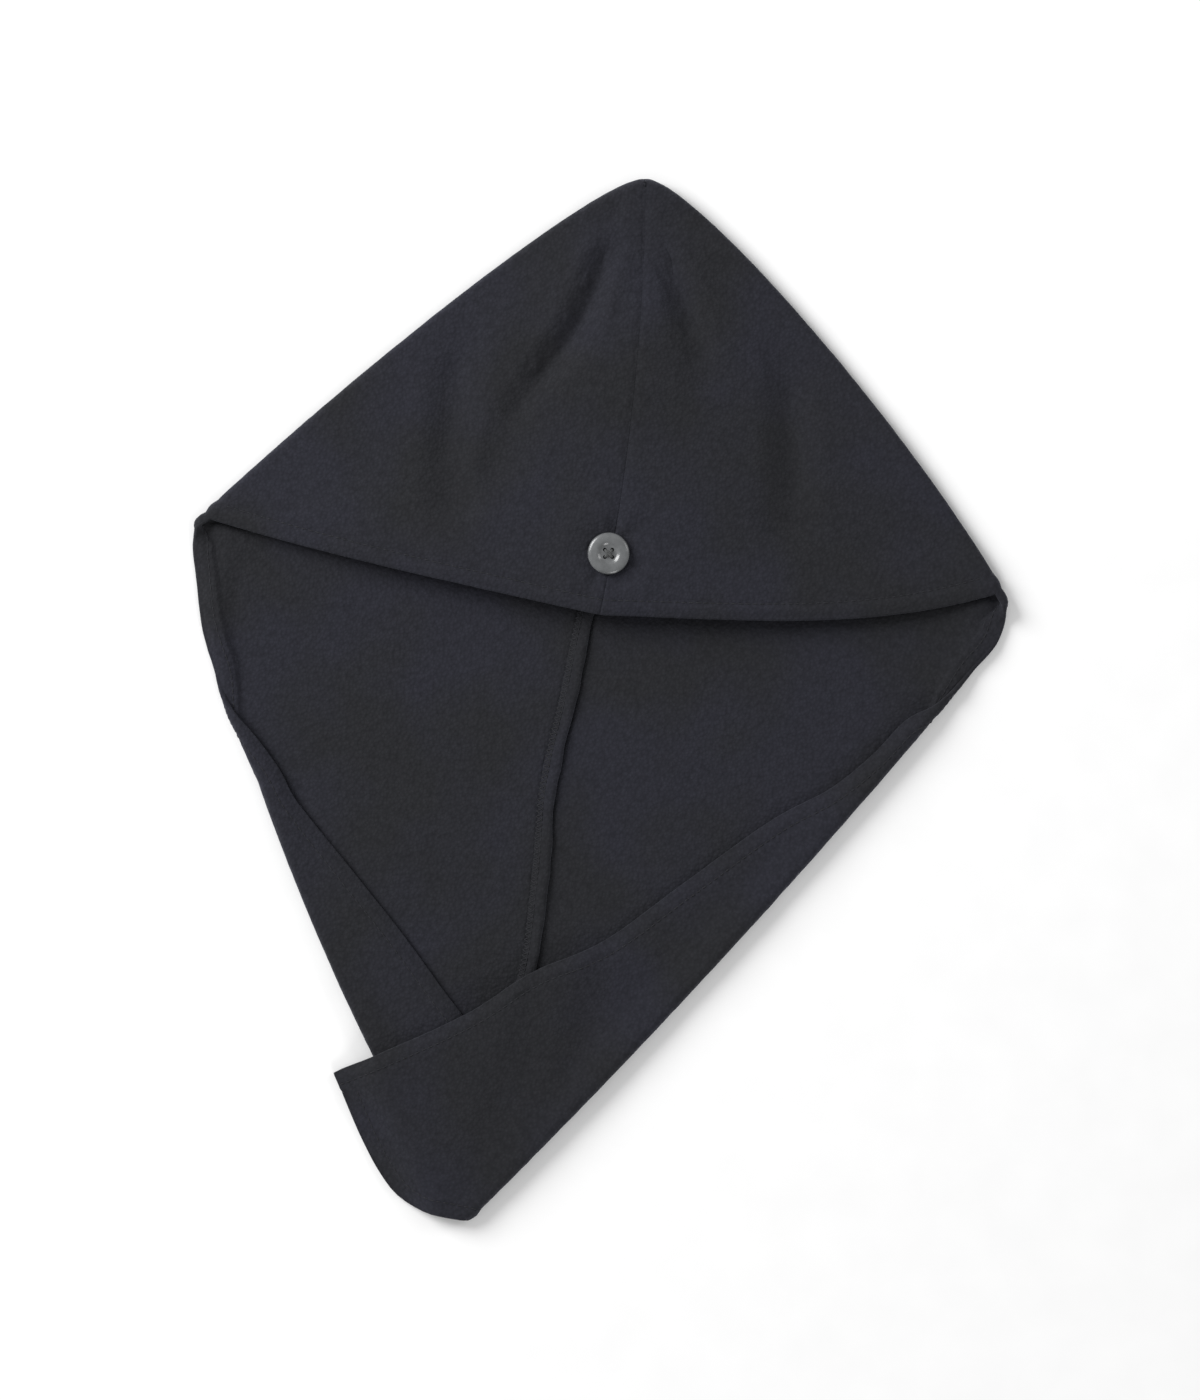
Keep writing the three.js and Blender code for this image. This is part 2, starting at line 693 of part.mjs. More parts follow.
function ridgePath() {
  const lift = cloth / 2 + seamGap + ridgeThickness / 2;
  const path = [];
  const steps = { front: 14, peak: 6, hoodBack: 12, tail: 30 };
  const startShare = (hemWidth + 3) / hoodLength;
  const arcCentre = peak.y - peakRadius - cloth / 2;
  for (let i = 0; i <= steps.front; i += 1) {
    const up = mix(startShare, ridgeEnd, i / steps.front);
    const place = frontSeam.getPoint(up);
    const height = frontHeight(place.x, place.y, up, 0) - lift - seamGap;
    path.push({ point: flatPoint(place.x, Math.min(place.y, arcCentre)).setZ(height), inward: [0, -1] });
  }
  for (let i = 1; i < steps.peak; i += 1) {
    const angle = Math.PI * (0.5 - i / steps.peak);
    const radius = peakRadius - lift - seamGap;
    path.push({
      point: new THREE.Vector3(
        peak.x,
        arcCentre + radius * Math.cos(angle),
        bottomHeight + peakRadius + radius * Math.sin(angle),
      ),
      inward: [-Math.cos(angle), -Math.sin(angle)],
    });
  }
  for (let i = 0; i <= steps.hoodBack; i += 1) {
    const place = hoodBackSeam.getPoint(mix(ridgeEnd, 0, i / steps.hoodBack));
    path.push({
      point: flatPoint(place.x, Math.min(place.y, arcCentre)).setZ(bottomHeight + lift),
      inward: [0, 1],
    });
  }
  for (let i = 1; i <= steps.tail; i += 1) {
    const place = backSeam.getPointAt(i / steps.tail * ridgeEnd);
    path.push({ point: flatPoint(place.x, place.y).setZ(bottomHeight + lift), inward: [0, 1] });
  }
  return path;
}

function ridgeGeometry() {
  const path = ridgePath();
  const half = ridgeThickness / 2;
  const section = [
    { side: -0.5, rise: -0.6 },
    { side: -0.46, rise: 0.5 },
    { side: -0.1, rise: 1 },
    { side: 0.36, rise: 0.9 },
    { side: 0.5, rise: 0 },
    { side: 0.4, rise: -1 },
    { side: -0.4, rise: -1 },
  ];
  const positions = [];
  const triangles = [];
  path.forEach((station, i) => {
    const before = path[Math.max(0, i - 1)].point;
    const after = path[Math.min(path.length - 1, i + 1)].point;
    const run = after.clone().sub(before);
    const heading = Math.atan2(run.x, run.y);
    const atPeak = station.inward[0] !== 0;
    const goingBack = station.inward[1] > 0;
    const sign = goingBack ? -1 : 1;
    const right = atPeak
      ? new THREE.Vector3(1, 0, 0)
      : new THREE.Vector3(Math.cos(heading) * sign, -Math.sin(heading) * sign, 0);
    const inward = new THREE.Vector3(0, station.inward[0], station.inward[1]);
    const trim = smooth(ridgeTrim.from, ridgeTrim.to, station.point.y / hoodLength);
    const width = mix(ridgeWidth, ridgePeakWidth, trim);
    const aside = mix(ridgeSide, ridgePeakSide, trim);
    for (const corner of section) {
      positions.push(station.point.clone()
        .addScaledVector(right, corner.side * width - aside)
        .addScaledVector(inward, corner.rise * half));
    }
  });
  const count = section.length;
  for (let i = 1; i < path.length; i += 1) {
    for (let k = 0; k < count; k += 1) {
      const [a, b] = [(i - 1) * count + k, (i - 1) * count + (k + 1) % count];
      triangles.push([a, b + count, b], [a, a + count, b + count]);
    }
  }
  for (let k = 1; k < count - 1; k += 1) {
    const last = (path.length - 1) * count;
    triangles.push([0, k, k + 1], [last, last + k + 1, last + k]);
  }
  return geometryOf(positions, triangles);
}

// The button, its thread and the elastic loop

function solidOf(geometry) {
  const bare = geometry.clone();
  bare.deleteAttribute('normal');
  bare.deleteAttribute('uv');
  const merged = mergeVertices(bare, 1e-4);
  return new wasm.Manifold(new wasm.Mesh({
    numProp: 3,
    vertProperties: new Float32Array(merged.attributes.position.array),
    triVerts: new Uint32Array(merged.index.array),
  }));
}

function geometryFrom(solid) {
  const mesh = solid.getMesh();
  const geometry = new THREE.BufferGeometry();
  geometry.setAttribute('position', new THREE.BufferAttribute(new Float32Array(mesh.vertProperties), 3));
  geometry.setIndex([...mesh.triVerts]);
  return geometry;
}

function uprightPost(diameter, low, high, x, y, faces) {
  const post = new THREE.CylinderGeometry(diameter / 2, diameter / 2, high - low, faces);
  post.rotateX(Math.PI / 2);
  post.translate(x, y, (low + high) / 2);
  return post;
}

const holePlaces = [0, 1, 2, 3].map((i) => {
  const angle = Math.PI * (0.25 + i / 2);
  return { x: buttonWellRadius * Math.cos(angle), y: buttonWellRadius * Math.sin(angle) };
});

function buttonGeometry() {
  const radius = buttonDiameter / 2;
  const inside = radius - buttonRimWidth;
  const floor = buttonThickness - buttonDish;
  const profile = [
    [0, 0],
    [radius * 0.72, 0],
    [radius - 0.9, 0.5],
    [radius, buttonThickness * 0.45],
    [radius - 0.35, buttonThickness * 0.8],
    [radius - buttonRimWidth * 0.35, buttonThickness],
    [radius - buttonRimWidth * 0.65, buttonThickness * 0.97],
    [inside, floor + 0.15],
    [inside - 1, floor],
    [0, floor],
  ].map(([x, y]) => new THREE.Vector2(x, y));
  const disc = new THREE.LatheGeometry(profile, 32);
  disc.rotateX(Math.PI / 2);
  let button = solidOf(disc);
  for (const hole of holePlaces) {
    button = button.subtract(solidOf(uprightPost(buttonHole, -1, buttonThickness + 1, hole.x, hole.y, 12)));
  }
  return geometryFrom(button);
}

// The thread rises through each hole, lies over the middle in a cross, and drops to the cloth

function threadGeometry() {
  const low = -buttonGap + 0.1;
  const floor = buttonThickness - buttonDish;
  const barMiddle = floor + 0.1 + threadDiameter / 2;
  let thread = null;
  for (const hole of holePlaces) {
    const post = solidOf(uprightPost(threadDiameter, low, barMiddle, hole.x, hole.y, 8));
    thread = thread ? thread.add(post) : post;
  }
  for (const angle of [Math.PI / 4, -Math.PI / 4]) {
    const bar = new THREE.CapsuleGeometry(threadDiameter / 2, 2 * buttonWellRadius, 2, 8);
    bar.rotateZ(angle);
    bar.translate(0, 0, barMiddle + (angle > 0 ? 0 : threadDiameter * 0.4));
    thread = thread.add(solidOf(bar));
  }
  return geometryFrom(thread);
}

function elasticGeometry() {
  const direction = flatPoint(loopHeading.x, loopHeading.y).normalize();
  const aside = flatPoint(direction.y, -direction.x);
  const root = backSeam.getPointAt(ridgeEnd)
    .addScaledVector(aside, loopAside)
    .addScaledVector(direction, loopInset);
  const height = cloth + layGap + elasticDiameter / 2;
  const place = (forward, side) => root.clone()
    .addScaledVector(direction, forward * loopLength)
    .addScaledVector(aside, side * loopWidth)
    .setZ(height);
  const route = new THREE.CatmullRomCurve3([
    place(0, -0.2), place(0.25, -0.32), place(0.6, -0.48), place(0.86, -0.38), place(1, 0),
    place(0.86, 0.38), place(0.6, 0.48), place(0.25, 0.32), place(0, 0.2),
  ]);
  const section = new THREE.Shape();
  section.absarc(0, 0, elasticDiameter / 2, 0, 2 * Math.PI);
  return new THREE.ExtrudeGeometry(section, { steps: 26, curveSegments: 4, extrudePath: route });
}

// The assembly

const towelling = new THREE.MeshStandardMaterial({ color: 0x2c2d32, roughness: 0.97, metalness: 0 });
const sewnEdge = new THREE.MeshStandardMaterial({ color: 0x303136, roughness: 0.95, metalness: 0 });
const greyResin = new THREE.MeshStandardMaterial({ color: 0x7c7e80, roughness: 0.35, metalness: 0 });
const darkThread = new THREE.MeshStandardMaterial({ color: 0x3a3b3d, roughness: 0.8, metalness: 0 });
const blackElastic = new THREE.MeshStandardMaterial({ color: 0x26272a, roughness: 0.85, metalness: 0 });

function piece(name, geometry, material) {
  const mesh = new THREE.Mesh(geometry, material);
  mesh.name = name;
  return mesh;
}

const turban = new THREE.Group();
turban.add(piece('left_panel', panelGeometry(sides.left), towelling));
turban.add(piece('right_panel', panelGeometry(sides.right), towelling));
turban.add(piece('centre_seam', ridgeGeometry(), sewnEdge));
turban.add(piece('elastic_loop', elasticGeometry(), blackElastic));

const fastening = new THREE.Group();
fastening.position.set(buttonShift, buttonUp, buttonSeat + cloth / 2 + buttonGap);
fastening.add(piece('button', buttonGeometry(), greyResin));
fastening.add(piece('button_thread', threadGeometry(), darkThread));
turban.add(fastening);

// The frame's origin is under the middle of the whole outline

const outline = new THREE.Box3().setFromObject(turban);
const middle = outline.getCenter(new THREE.Vector3());
turban.position.set(-middle.x, -middle.y, -outline.min.z);

export default turban;
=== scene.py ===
# A hair turban towel of dark brushed towelling lying flat: two panels folded as they lie, the long seam with
# its overlocked allowances, the hems with their stitching, the four-hole button and the hidden elastic loop.
# The cloth is worked out in millimetres from the middle of the rim, and placed in metres.

import math

import bpy
import numpy as np
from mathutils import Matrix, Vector


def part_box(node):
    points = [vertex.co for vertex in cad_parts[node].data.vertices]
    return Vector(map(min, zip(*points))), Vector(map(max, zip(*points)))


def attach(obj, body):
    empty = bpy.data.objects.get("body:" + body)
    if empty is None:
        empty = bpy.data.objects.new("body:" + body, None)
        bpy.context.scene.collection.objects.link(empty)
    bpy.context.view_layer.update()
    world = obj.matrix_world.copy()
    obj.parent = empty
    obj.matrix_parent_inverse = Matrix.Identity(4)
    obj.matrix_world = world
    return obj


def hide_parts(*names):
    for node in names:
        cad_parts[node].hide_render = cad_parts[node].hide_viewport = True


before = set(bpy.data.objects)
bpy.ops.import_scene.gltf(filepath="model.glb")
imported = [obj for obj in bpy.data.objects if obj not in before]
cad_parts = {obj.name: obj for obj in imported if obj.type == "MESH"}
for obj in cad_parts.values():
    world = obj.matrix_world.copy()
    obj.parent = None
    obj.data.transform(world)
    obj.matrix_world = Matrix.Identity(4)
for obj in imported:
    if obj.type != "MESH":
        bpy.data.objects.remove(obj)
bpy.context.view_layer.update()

# Sizes of the cloth, as in the solids

CLOTH = 2.0
HEM_WIDTH = 10.0
HEM_EXTRA = 1.4
SEAM_GAP = 0.04
RIDGE_GAP = 0.3
LAY_GAP = 0.4
HOOD_LENGTH = 209.8
PEAK = np.array([21.6, 209.8])
LEFT_REACH = 190.6
LEFT_LIFT = 49.0
RIGHT_REACH = 193.9
RIGHT_LIFT = 12.0
TAIL_LENGTH = 291.4
TAIL_LEAN = 69.0
RIM_HEIGHT = 12.5
CROWN_SHARE = 0.65
DOME_POWER = 0.75
FOLD_RADIUS = 2.3
PEAK_RADIUS = 3.3
CREASE_RADIUS = 2.8
FLAT_CREASE_RADIUS = 1.9
SETTLE_LENGTH = 16.0
HEM_LEAVES = (20.0, 60.0)     # along the left crease, where its hem has moved off it
RIDGE_RISE = (-34.0, -14.0)   # left of the seam, where the right flap climbs the ridge
FLAP_RISE = (-6.0, 10.0)      # the same for the left flap and its hem
FLAP_DROOP = (3.0, 20.0)      # past the left crease, where the right flap drops
RIDGE_WIDTH = 8.0
RIDGE_THICKNESS = 1.5
RIDGE_PEAK_WIDTH = 3.5
RIDGE_SIDE = 3.2
RIDGE_PEAK_SIDE = 0.2
RIDGE_TRIM = (0.8, 0.93)  # shares of HOOD_LENGTH where the ridge is trimmed
RIDGE_END = 0.985
EDGE_DROP = 0.45
RIDGE_LOWEST = 0.92       # of its underside, from its middle
BUTTON_DIAMETER = 20.0
BUTTON_THICKNESS = 3.4
BUTTON_DISH = 1.1
BUTTON_UP = 29.3
BUTTON_SHIFT = 4.1
BUTTON_SINK = 1.2
BUTTON_SEAT_REACH = (0.6, 1.15)   # the dent round it, in diameters from its middle
BUTTON_GAP = 0.3
BUTTON_WELL_RADIUS = 2.5
BUTTON_HOLE = 1.8
THREAD_STRAND = 0.27
ELASTIC_DIAMETER = 2.2
LOOP_WIDTH = 10.0
LOOP_LENGTH = 28.0
LOOP_INSET = 12.0
LOOP_ASIDE = 6.5
LOOP_HEADING = (0.42, 0.91)
BOW_REACH = 60.0
SEAM_HOLD = 18.0          # how far from the long seam a crease's bow still leaves the cloth in place

BOTTOM_HEIGHT = CLOTH / 2
BUTTON_SEAT = RIM_HEIGHT - BUTTON_SINK
REST_HEIGHT = CLOTH * 1.5 + LAY_GAP
EDGE_ROUND = 0.45

STITCH_LINE = 7.0         # hem's stitching from the edge
STITCH_PITCH = 3.4
STITCH_LENGTH = 2.7
STITCH_RADIUS = 0.22
HEM_PUFF = 0.45           # fullness of the hem outside
STITCH_PULL = 0.36        # how deep its stitching pulls in
TAIL_STITCH_PULL = 0.2    # the same on the tail
EDGE_FALL = 0.85          # how far the face rolls down at a free edge
EDGE_FALL_WIDTH = 4.5
FLAP_FALL = 1.9           # the same on the flaps, which come down onto the cloth below
FLAP_FALL_WIDTH = 8.0
SEAM_PULL = 0.4           # the same along the long seam
CURL_LENGTH = 16.0        # how far below a corner its turned edge has opened out flat
ROLL_WIDTH = 22.0         # soft roll inside the free edges below the corners
ROLL_NARROW = 11.0        # the same where the flap begins
HEM_EASE = 38.0           # how far from its edge a flap has settled to a single thickness
CORNER_BULGE = 3.0        # how far the back swells up below the rim beside a corner
CORNER_REACH = 42.0
LOOP_LUMP = 1.0           # how far the flap swells over the elastic loop
LOOP_LUMP_REACH = 13.0
PILE_DEPTH = 0.16         # unevenness of the pile
HEM_GATHER_PITCH = 8.3    # puckers along the hem's stitching
SEAM_GATHER_PITCH = 9.1   # the same along the long seam
LIFT_MIDDLE = 0.7         # how far all the layers stand off the surface
LIFT_SWING = 0.55
LIFT_RIPPLE = 0.2
WAVE_HEIGHTS = (0.75, 0.32)    # slow and soft unevenness of the front
SIDE_FADE = (0.0, 0.25)        # shares of the front where its unevenness and dents fade out
RIM_FADE = (0.02, 0.1)
PEAK_FADE = (0.9, 1.0)
GATHER_START = (0.42, 0.62)    # gathers round the button, in diameters from its middle
GATHER_END = (0.7, 1.7)
GATHER_HEIGHT = 0.5
GATHER_SWING = 0.4
FIRST_ROW = 0.004              # share of the tail's length
ROW_CROWDING = 1.15            # rows lie closer towards the rim
ROLL_STARTS = 25.0             # lengths over which a rolled edge begins and ends
ROLL_ENDS = 30.0
CORNER_SWELL = (0.1, 4.0)      # lengths below the rim where a corner's bulge begins and ends
CORNER_FALL = (6.0, 30.0)
OVERLOCK_PITCH = 2.6
OVERLOCK_RADIUS = 0.2

# The long seam on the back: down is a share of TAIL_LENGTH, aside of TAIL_LEAN
BACK_SEAM = [
    (0.016, 0.07), (0.074, 0.12), (0.140, 0.175), (0.222, 0.26), (0.305, 0.325),
    (0.387, 0.35), (0.469, 0.385), (0.581, 0.45), (0.772, 0.68), (0.964, 1.0),
]

# edge: out is a share of the reach and down of TAIL_LENGTH. flap and end: along is a share of the crease's
# length and wide of the flap's width.
LEFT = {
    "sign": -1, "reach": LEFT_REACH, "lift": LEFT_LIFT, "flap_width": 50.0,
    "corner_out": 0.356, "corner_up": 0.304, "peak_pull": 0.123, "rim_sag": 0.01,
    "crease_start": (0.862, 0.275), "crease_end": (0.413, 0.924), "crease_bow": 0.023, "thin": True,
    "roll": (14.0, 98.0), "roll_height": 1.9,
    "edge": [
        (1.0, -0.168), (1.018, -0.156), (1.026, -0.115), (1.018, -0.066), (1.003, 0.016),
        (0.988, 0.055), (0.968, 0.099), (0.955, 0.209), (0.944, 0.252),
    ],
    "flap": [
        (0.0, 0.21), (0.06, 0.24), (0.116, 0.30), (0.253, 0.46), (0.442, 0.65), (0.636, 0.80), (0.774, 0.92),
    ],
    "end": [(1.058, -0.21), (1.0, 0.0), (0.93, 0.32), (0.86, 0.64), (0.774, 0.92)],
}
RIGHT = {
    "sign": 1, "reach": RIGHT_REACH, "lift": RIGHT_LIFT, "flap_width": 95.0,
    "corner_out": 0.256, "corner_up": 0.4, "peak_pull": 0.115, "rim_sag": 0.04,
    "crease_start": (0.855, 0.150), "crease_end": (-0.289, 0.976), "crease_bow": 0.011, "thin": False,
    "roll": (12.0, 76.0), "roll_height": 0.9,
    "edge": [(1.0, -0.041), (1.009, -0.022), (1.004, 0.010), (0.978, 0.053), (0.923, 0.096)],
    "flap": [
        (0.0, 0.02), (0.05, 0.085), (0.12, 0.10), (0.20, 0.145), (0.29, 0.25), (0.45, 0.36),
        (0.60, 0.46), (0.70, 0.61), (0.80, 0.70), (0.94, 0.90), (1.003, 1.0),
    ],
    "end": [
        (1.018, -0.143), (1.028, 0.0), (1.047, 0.08), (1.064, 0.18), (1.073, 0.33), (1.066, 0.48),
        (1.048, 0.66), (1.019, 0.88), (1.003, 1.0),
    ],
}

# Hollows on the front: x0, y0, x1, y1 and half width as shares of HOOD_LENGTH, depth of RIM_HEIGHT
HOOD_DENTS = [
    (0.085, 0.78, 0.088, 0.88, 0.072, 0.11),
    (0.012, 0.80, -0.057, 0.64, 0.034, 0.17),
    (-0.057, 0.64, -0.137, 0.55, 0.036, 0.17),
    (-0.137, 0.55, -0.250, 0.33, 0.046, 0.08),
    (0.149, 0.80, 0.206, 0.67, 0.034, 0.14),
    (0.206, 0.67, 0.240, 0.56, 0.042, 0.08),
    (-0.332, 0.63, -0.332, 0.26, 0.046, 0.11),
    (0.435, 0.54, 0.435, 0.22, 0.046, 0.11),
]

# Finer creases on the front, in the same shares: a narrow crease with a soft ridge beside it
HOOD_CREASES = [
    (0.020, 0.83, -0.030, 0.71, 0.022, 0.080),
    (-0.030, 0.71, -0.100, 0.59, 0.022, 0.090),
    (-0.100, 0.59, -0.190, 0.47, 0.024, 0.070),
    (0.140, 0.83, 0.190, 0.70, 0.022, 0.070),
    (0.190, 0.70, 0.225, 0.60, 0.024, 0.050),
    (-0.330, 0.56, -0.350, 0.38, 0.030, 0.055),
    (0.430, 0.50, 0.445, 0.30, 0.030, 0.060),
]

LOOP_MIDDLE = (-45.0, -212.0)

FLAT_COLUMNS = 60
CREASE_COLUMNS = 9
MIDDLE_COLUMNS = 18
HEM_COLUMNS = 4
TOP_COLUMNS = 92
ARC_COLUMNS = 10
BACK_ROWS = 128
BACK_COLUMNS = FLAT_COLUMNS + CREASE_COLUMNS + MIDDLE_COLUMNS + HEM_COLUMNS
CURL_BAND = math.pi * CREASE_RADIUS


# Helpers

def mix(a, b, share):
    return a + (b - a) * share


def smooth(start, end, x):
    share = np.clip((x - start) / (end - start), 0, 1)
    return share * share * (3 - 2 * share)


def lattice_noise(seed, period, size=64):
    """Soft noise between -1 and 1 over plan coordinates."""
    table = np.random.default_rng(seed).uniform(-1, 1, (size, size))

    def at(x, y):
        u, v = np.asarray(x) / period, np.asarray(y) / period
        i, j = np.floor(u).astype(int), np.floor(v).astype(int)
        du, dv = u - i, v - j
        du, dv = du * du * (3 - 2 * du), dv * dv * (3 - 2 * dv)
        low = mix(table[i % size, j % size], table[(i + 1) % size, j % size], du)
        high = mix(table[i % size, (j + 1) % size], table[(i + 1) % size, (j + 1) % size], du)
        return mix(low, high, dv)

    return at


def run_of(points):
    """Length along a row of points, from its start to each of them."""
    return np.concatenate([[0.0], np.cumsum(np.linalg.norm(np.diff(points, axis=0), axis=1))])


def read_along(want, run, values):
    return np.stack([np.interp(want, run, axis) for axis in values.T], -1)


def with_height(plan, height):
    height = np.broadcast_to(np.asarray(height, float)[..., None], plan.shape[:-1] + (1,))
    return np.concatenate([plan, height], -1)


class Path:
    """A plan curve sampled finely, read by its length."""

    def __init__(self, points):
        self.points = np.asarray(points, float)
        self.lengths = run_of(self.points)

    def at(self, share):
        return read_along(np.asarray(share) * self.lengths[-1], self.lengths, self.points)

    def heading(self, share):
        step = 0.002
        run = self.at(np.minimum(share + step, 1)) - self.at(np.maximum(share - step, 0))
        return run / np.linalg.norm(run, axis=-1, keepdims=True)


def rounded_path(corners, samples=40):
    """A centripetal curve through all the corners."""
    corners = np.asarray(corners, float)
    ends = np.vstack([2 * corners[0] - corners[1], corners, 2 * corners[-1] - corners[-2]])
    share = np.linspace(0, 1, samples, endpoint=False)[:, None]
    points = []
    for k in range(1, len(corners)):
        p0, p1, p2, p3 = ends[k - 1:k + 3]
        d0, d1, d2 = (np.sqrt(np.linalg.norm(b - a)) for a, b in ((p0, p1), (p1, p2), (p2, p3)))
        t1 = ((p1 - p0) / d0 - (p2 - p0) / (d0 + d1) + (p2 - p1) / d1) * d1
        t2 = ((p2 - p1) / d1 - (p3 - p1) / (d1 + d2) + (p3 - p2) / d2) * d1
        points.append(
            p1 + t1 * share + (-3 * p1 + 3 * p2 - 2 * t1 - t2) * share ** 2
            + (2 * p1 - 2 * p2 + t1 + t2) * share ** 3
        )
    points.append(corners[-1:])
    return Path(np.vstack(points))


def bezier(points, share):
    """Place and heading on a Bezier curve at each share."""
    points = [np.asarray(p, float) for p in points]
    share = np.asarray(share, float)[..., None]
    layer = points
    while len(layer) > 2:
        layer = [mix(a, b, share) for a, b in zip(layer, layer[1:])]
    run = layer[1] - layer[0]
    run = run + np.where(np.linalg.norm(run, axis=-1, keepdims=True) < 1e-9, 1e-9, 0)
    return mix(layer[0], layer[1], share), run / np.linalg.norm(run, axis=-1, keepdims=True)


def across_of(heading):
    return np.stack([np.abs(heading[..., 1]), -heading[..., 0] * np.sign(heading[..., 1])], -1)


def nearest_on(points, path):
    """Distance to a path and the length along it, for plan points of any shape."""
    shape = points.shape[:-1]
    flat = points.reshape(-1, 2)
    best = np.full(len(flat), np.inf)
    along = np.zeros(len(flat))
    lengths = path.lengths
    for k, (a, b) in enumerate(zip(path.points, path.points[1:])):
        run = b - a
        share = np.clip(((flat - a) @ run) / max(run @ run, 1e-12), 0, 1)
        distance = np.linalg.norm(flat - a - share[:, None] * run, axis=1)
        closer = distance < best
        best = np.where(closer, distance, best)
        along = np.where(closer, lengths[k] + share * (lengths[k + 1] - lengths[k]), along)
    return best.reshape(shape), along.reshape(shape)


def segment_distance(x, y, x0, y0, x1, y1):
    dx, dy = x1 - x0, y1 - y0
    share = np.clip(((x - x0) * dx + (y - y0) * dy) / (dx * dx + dy * dy), 0, 1)
    return np.hypot(x - x0 - share * dx, y - y0 - share * dy)


# The seam in plan

back_seam = rounded_path([(-aside * TAIL_LEAN, -down * TAIL_LENGTH) for down, aside in BACK_SEAM])
seam_pull = np.array([PEAK[0], HOOD_LENGTH / 2])
front_seam = [np.zeros(2), seam_pull, PEAK]
hood_back_seam = [back_seam.points[0], seam_pull, PEAK]
coarse_seam = Path(back_seam.at(np.linspace(0, 1, 61)))


def left_of_seam(points):
    distance, _ = nearest_on(points, coarse_seam)
    side = points[..., 0] - np.interp(
        -points[..., 1], -coarse_seam.points[:, 1], coarse_seam.points[:, 0]
    )
    return np.where(side < 0, distance, -distance)


def hem_at(distance):
    return HEM_EXTRA * (1 - smooth(HEM_WIDTH - 1.5, HEM_WIDTH + 1.5, distance))


# The creases of the tail

class Crease:
    def __init__(self, side):
        def place(row):
            return np.array([side["sign"] * row[0] * side["reach"], -row[1] * TAIL_LENGTH])

        self.start = place(side["crease_start"])
        run = place(side["crease_end"]) - self.start
        self.length = np.linalg.norm(run)
        self.along = run / self.length
        self.outward = np.array([-self.along[1], self.along[0]])
        if self.outward[0] * side["sign"] < 0:
            self.outward = -self.outward


def crease_radius(side, along):
    if not side["thin"]:
        return np.full_like(along, CREASE_RADIUS, dtype=float)
    return mix(CREASE_RADIUS, FLAT_CREASE_RADIUS, smooth(*HEM_LEAVES, along))


def unfolded(side, crease, row):
    along = row[0] * crease.length
    wide = row[1] * side["flap_width"]
    radius = float(crease_radius(side, np.array(along)))
    round_the_crease = (math.pi - 2) * radius * min(max(wide / radius, 0), 1)
    return crease.start + crease.along * along + crease.outward * (wide + round_the_crease)


left_crease = Crease(LEFT)


def right_flap_height(points):
    over_ridge = 1.5 * CLOTH + 2 * LAY_GAP + max(RIDGE_THICKNESS, ELASTIC_DIAMETER)
    over_left_flap = 2.5 * CLOTH + HEM_EXTRA + 2 * LAY_GAP
    left = left_of_seam(points)
    beyond = (points - left_crease.start) @ left_crease.outward
    layers = mix(REST_HEIGHT, over_ridge, smooth(*RIDGE_RISE, left))
    layers = mix(layers, over_left_flap, smooth(*FLAP_RISE, left))
    from_loop = np.linalg.norm(points - np.array(LOOP_MIDDLE), axis=-1)
    layers = layers + LOOP_LUMP * np.exp(-(from_loop / LOOP_LUMP_REACH) ** 2)
    return mix(layers, BOTTOM_HEIGHT + LAY_GAP, smooth(*FLAP_DROOP, beyond))


def fold(side, crease, cut, edge_distance):
    offset = cut - crease.start
    along = offset @ crease.along
    out = offset @ crease.outward
    radius = crease_radius(side, along)
    arc_start = -radius - CLOTH / 2
    past = out - arc_start
    angle = np.clip(past / radius, 0, math.pi)
    beyond = np.maximum(past - math.pi * radius, 0)
    across = np.where(past > 0, arc_start + radius * np.sin(angle) - beyond, out)
    height = BOTTOM_HEIGHT + radius * (1 - np.cos(angle))
    place = crease.start + along[..., None] * crease.along + across[..., None] * crease.outward
    lie = REST_HEIGHT if side["thin"] else right_flap_height(place)
    settled = smooth(0, SETTLE_LENGTH, beyond)
    over_hem = HEM_EXTRA * (1 - smooth(6, HEM_EASE, edge_distance))
    height = np.where(beyond > 0, mix(height, lie + over_hem, settled), height)
    share = np.clip(along / crease.length, 0, 1)
    bow = 4 * share * (1 - share) * side["crease_bow"] * crease.length * smooth(-BOW_REACH, 0, across)
    # the layer that the seam is in keeps to the seam, so the two panels meet there
    from_seam, _ = nearest_on(place, coarse_seam)
    bow = np.where(past > 0, bow, bow * smooth(0, SEAM_HOLD, from_seam))
    return with_height(place + bow[..., None] * crease.outward, height)


# The front of the hood

slow_wave = lattice_noise(11, 46)
soft_wave = lattice_noise(12, 21)
lift_wave = lattice_noise(13, 58)
lift_ripple = lattice_noise(14, 27)


def lift_at(x, y):
    """How far all the layers stand off the surface at a place, so that they never meet."""
    return LIFT_MIDDLE + LIFT_SWING * lift_wave(x + 400, y + 700) + LIFT_RIPPLE * lift_ripple(x + 500, y + 300)


def dents_at(x, y):
    depth = np.zeros(np.broadcast(x, y).shape)
    for x0, y0, x1, y1, wide, deep in HOOD_DENTS:
        ends = [value * HOOD_LENGTH for value in (x0, y0, x1, y1)]
        distance = segment_distance(x, y, *ends)
        reach = 2 * wide * HOOD_LENGTH
        depth = np.maximum(depth, 1.8 * deep * RIM_HEIGHT * (1 - smooth(0, reach, distance)))
    crease = np.zeros_like(depth)
    for x0, y0, x1, y1, wide, deep in HOOD_CREASES:
        ends = [value * HOOD_LENGTH for value in (x0, y0, x1, y1)]
        distance = segment_distance(x, y, *ends) / (wide * HOOD_LENGTH)
        narrow = np.exp(-distance ** 2) - 0.35 * np.exp(-((distance - 2.2) / 0.9) ** 2)
        crease = np.where(np.abs(narrow * deep) > np.abs(crease), narrow * deep, crease)
    return depth + 1.5 * crease * RIM_HEIGHT


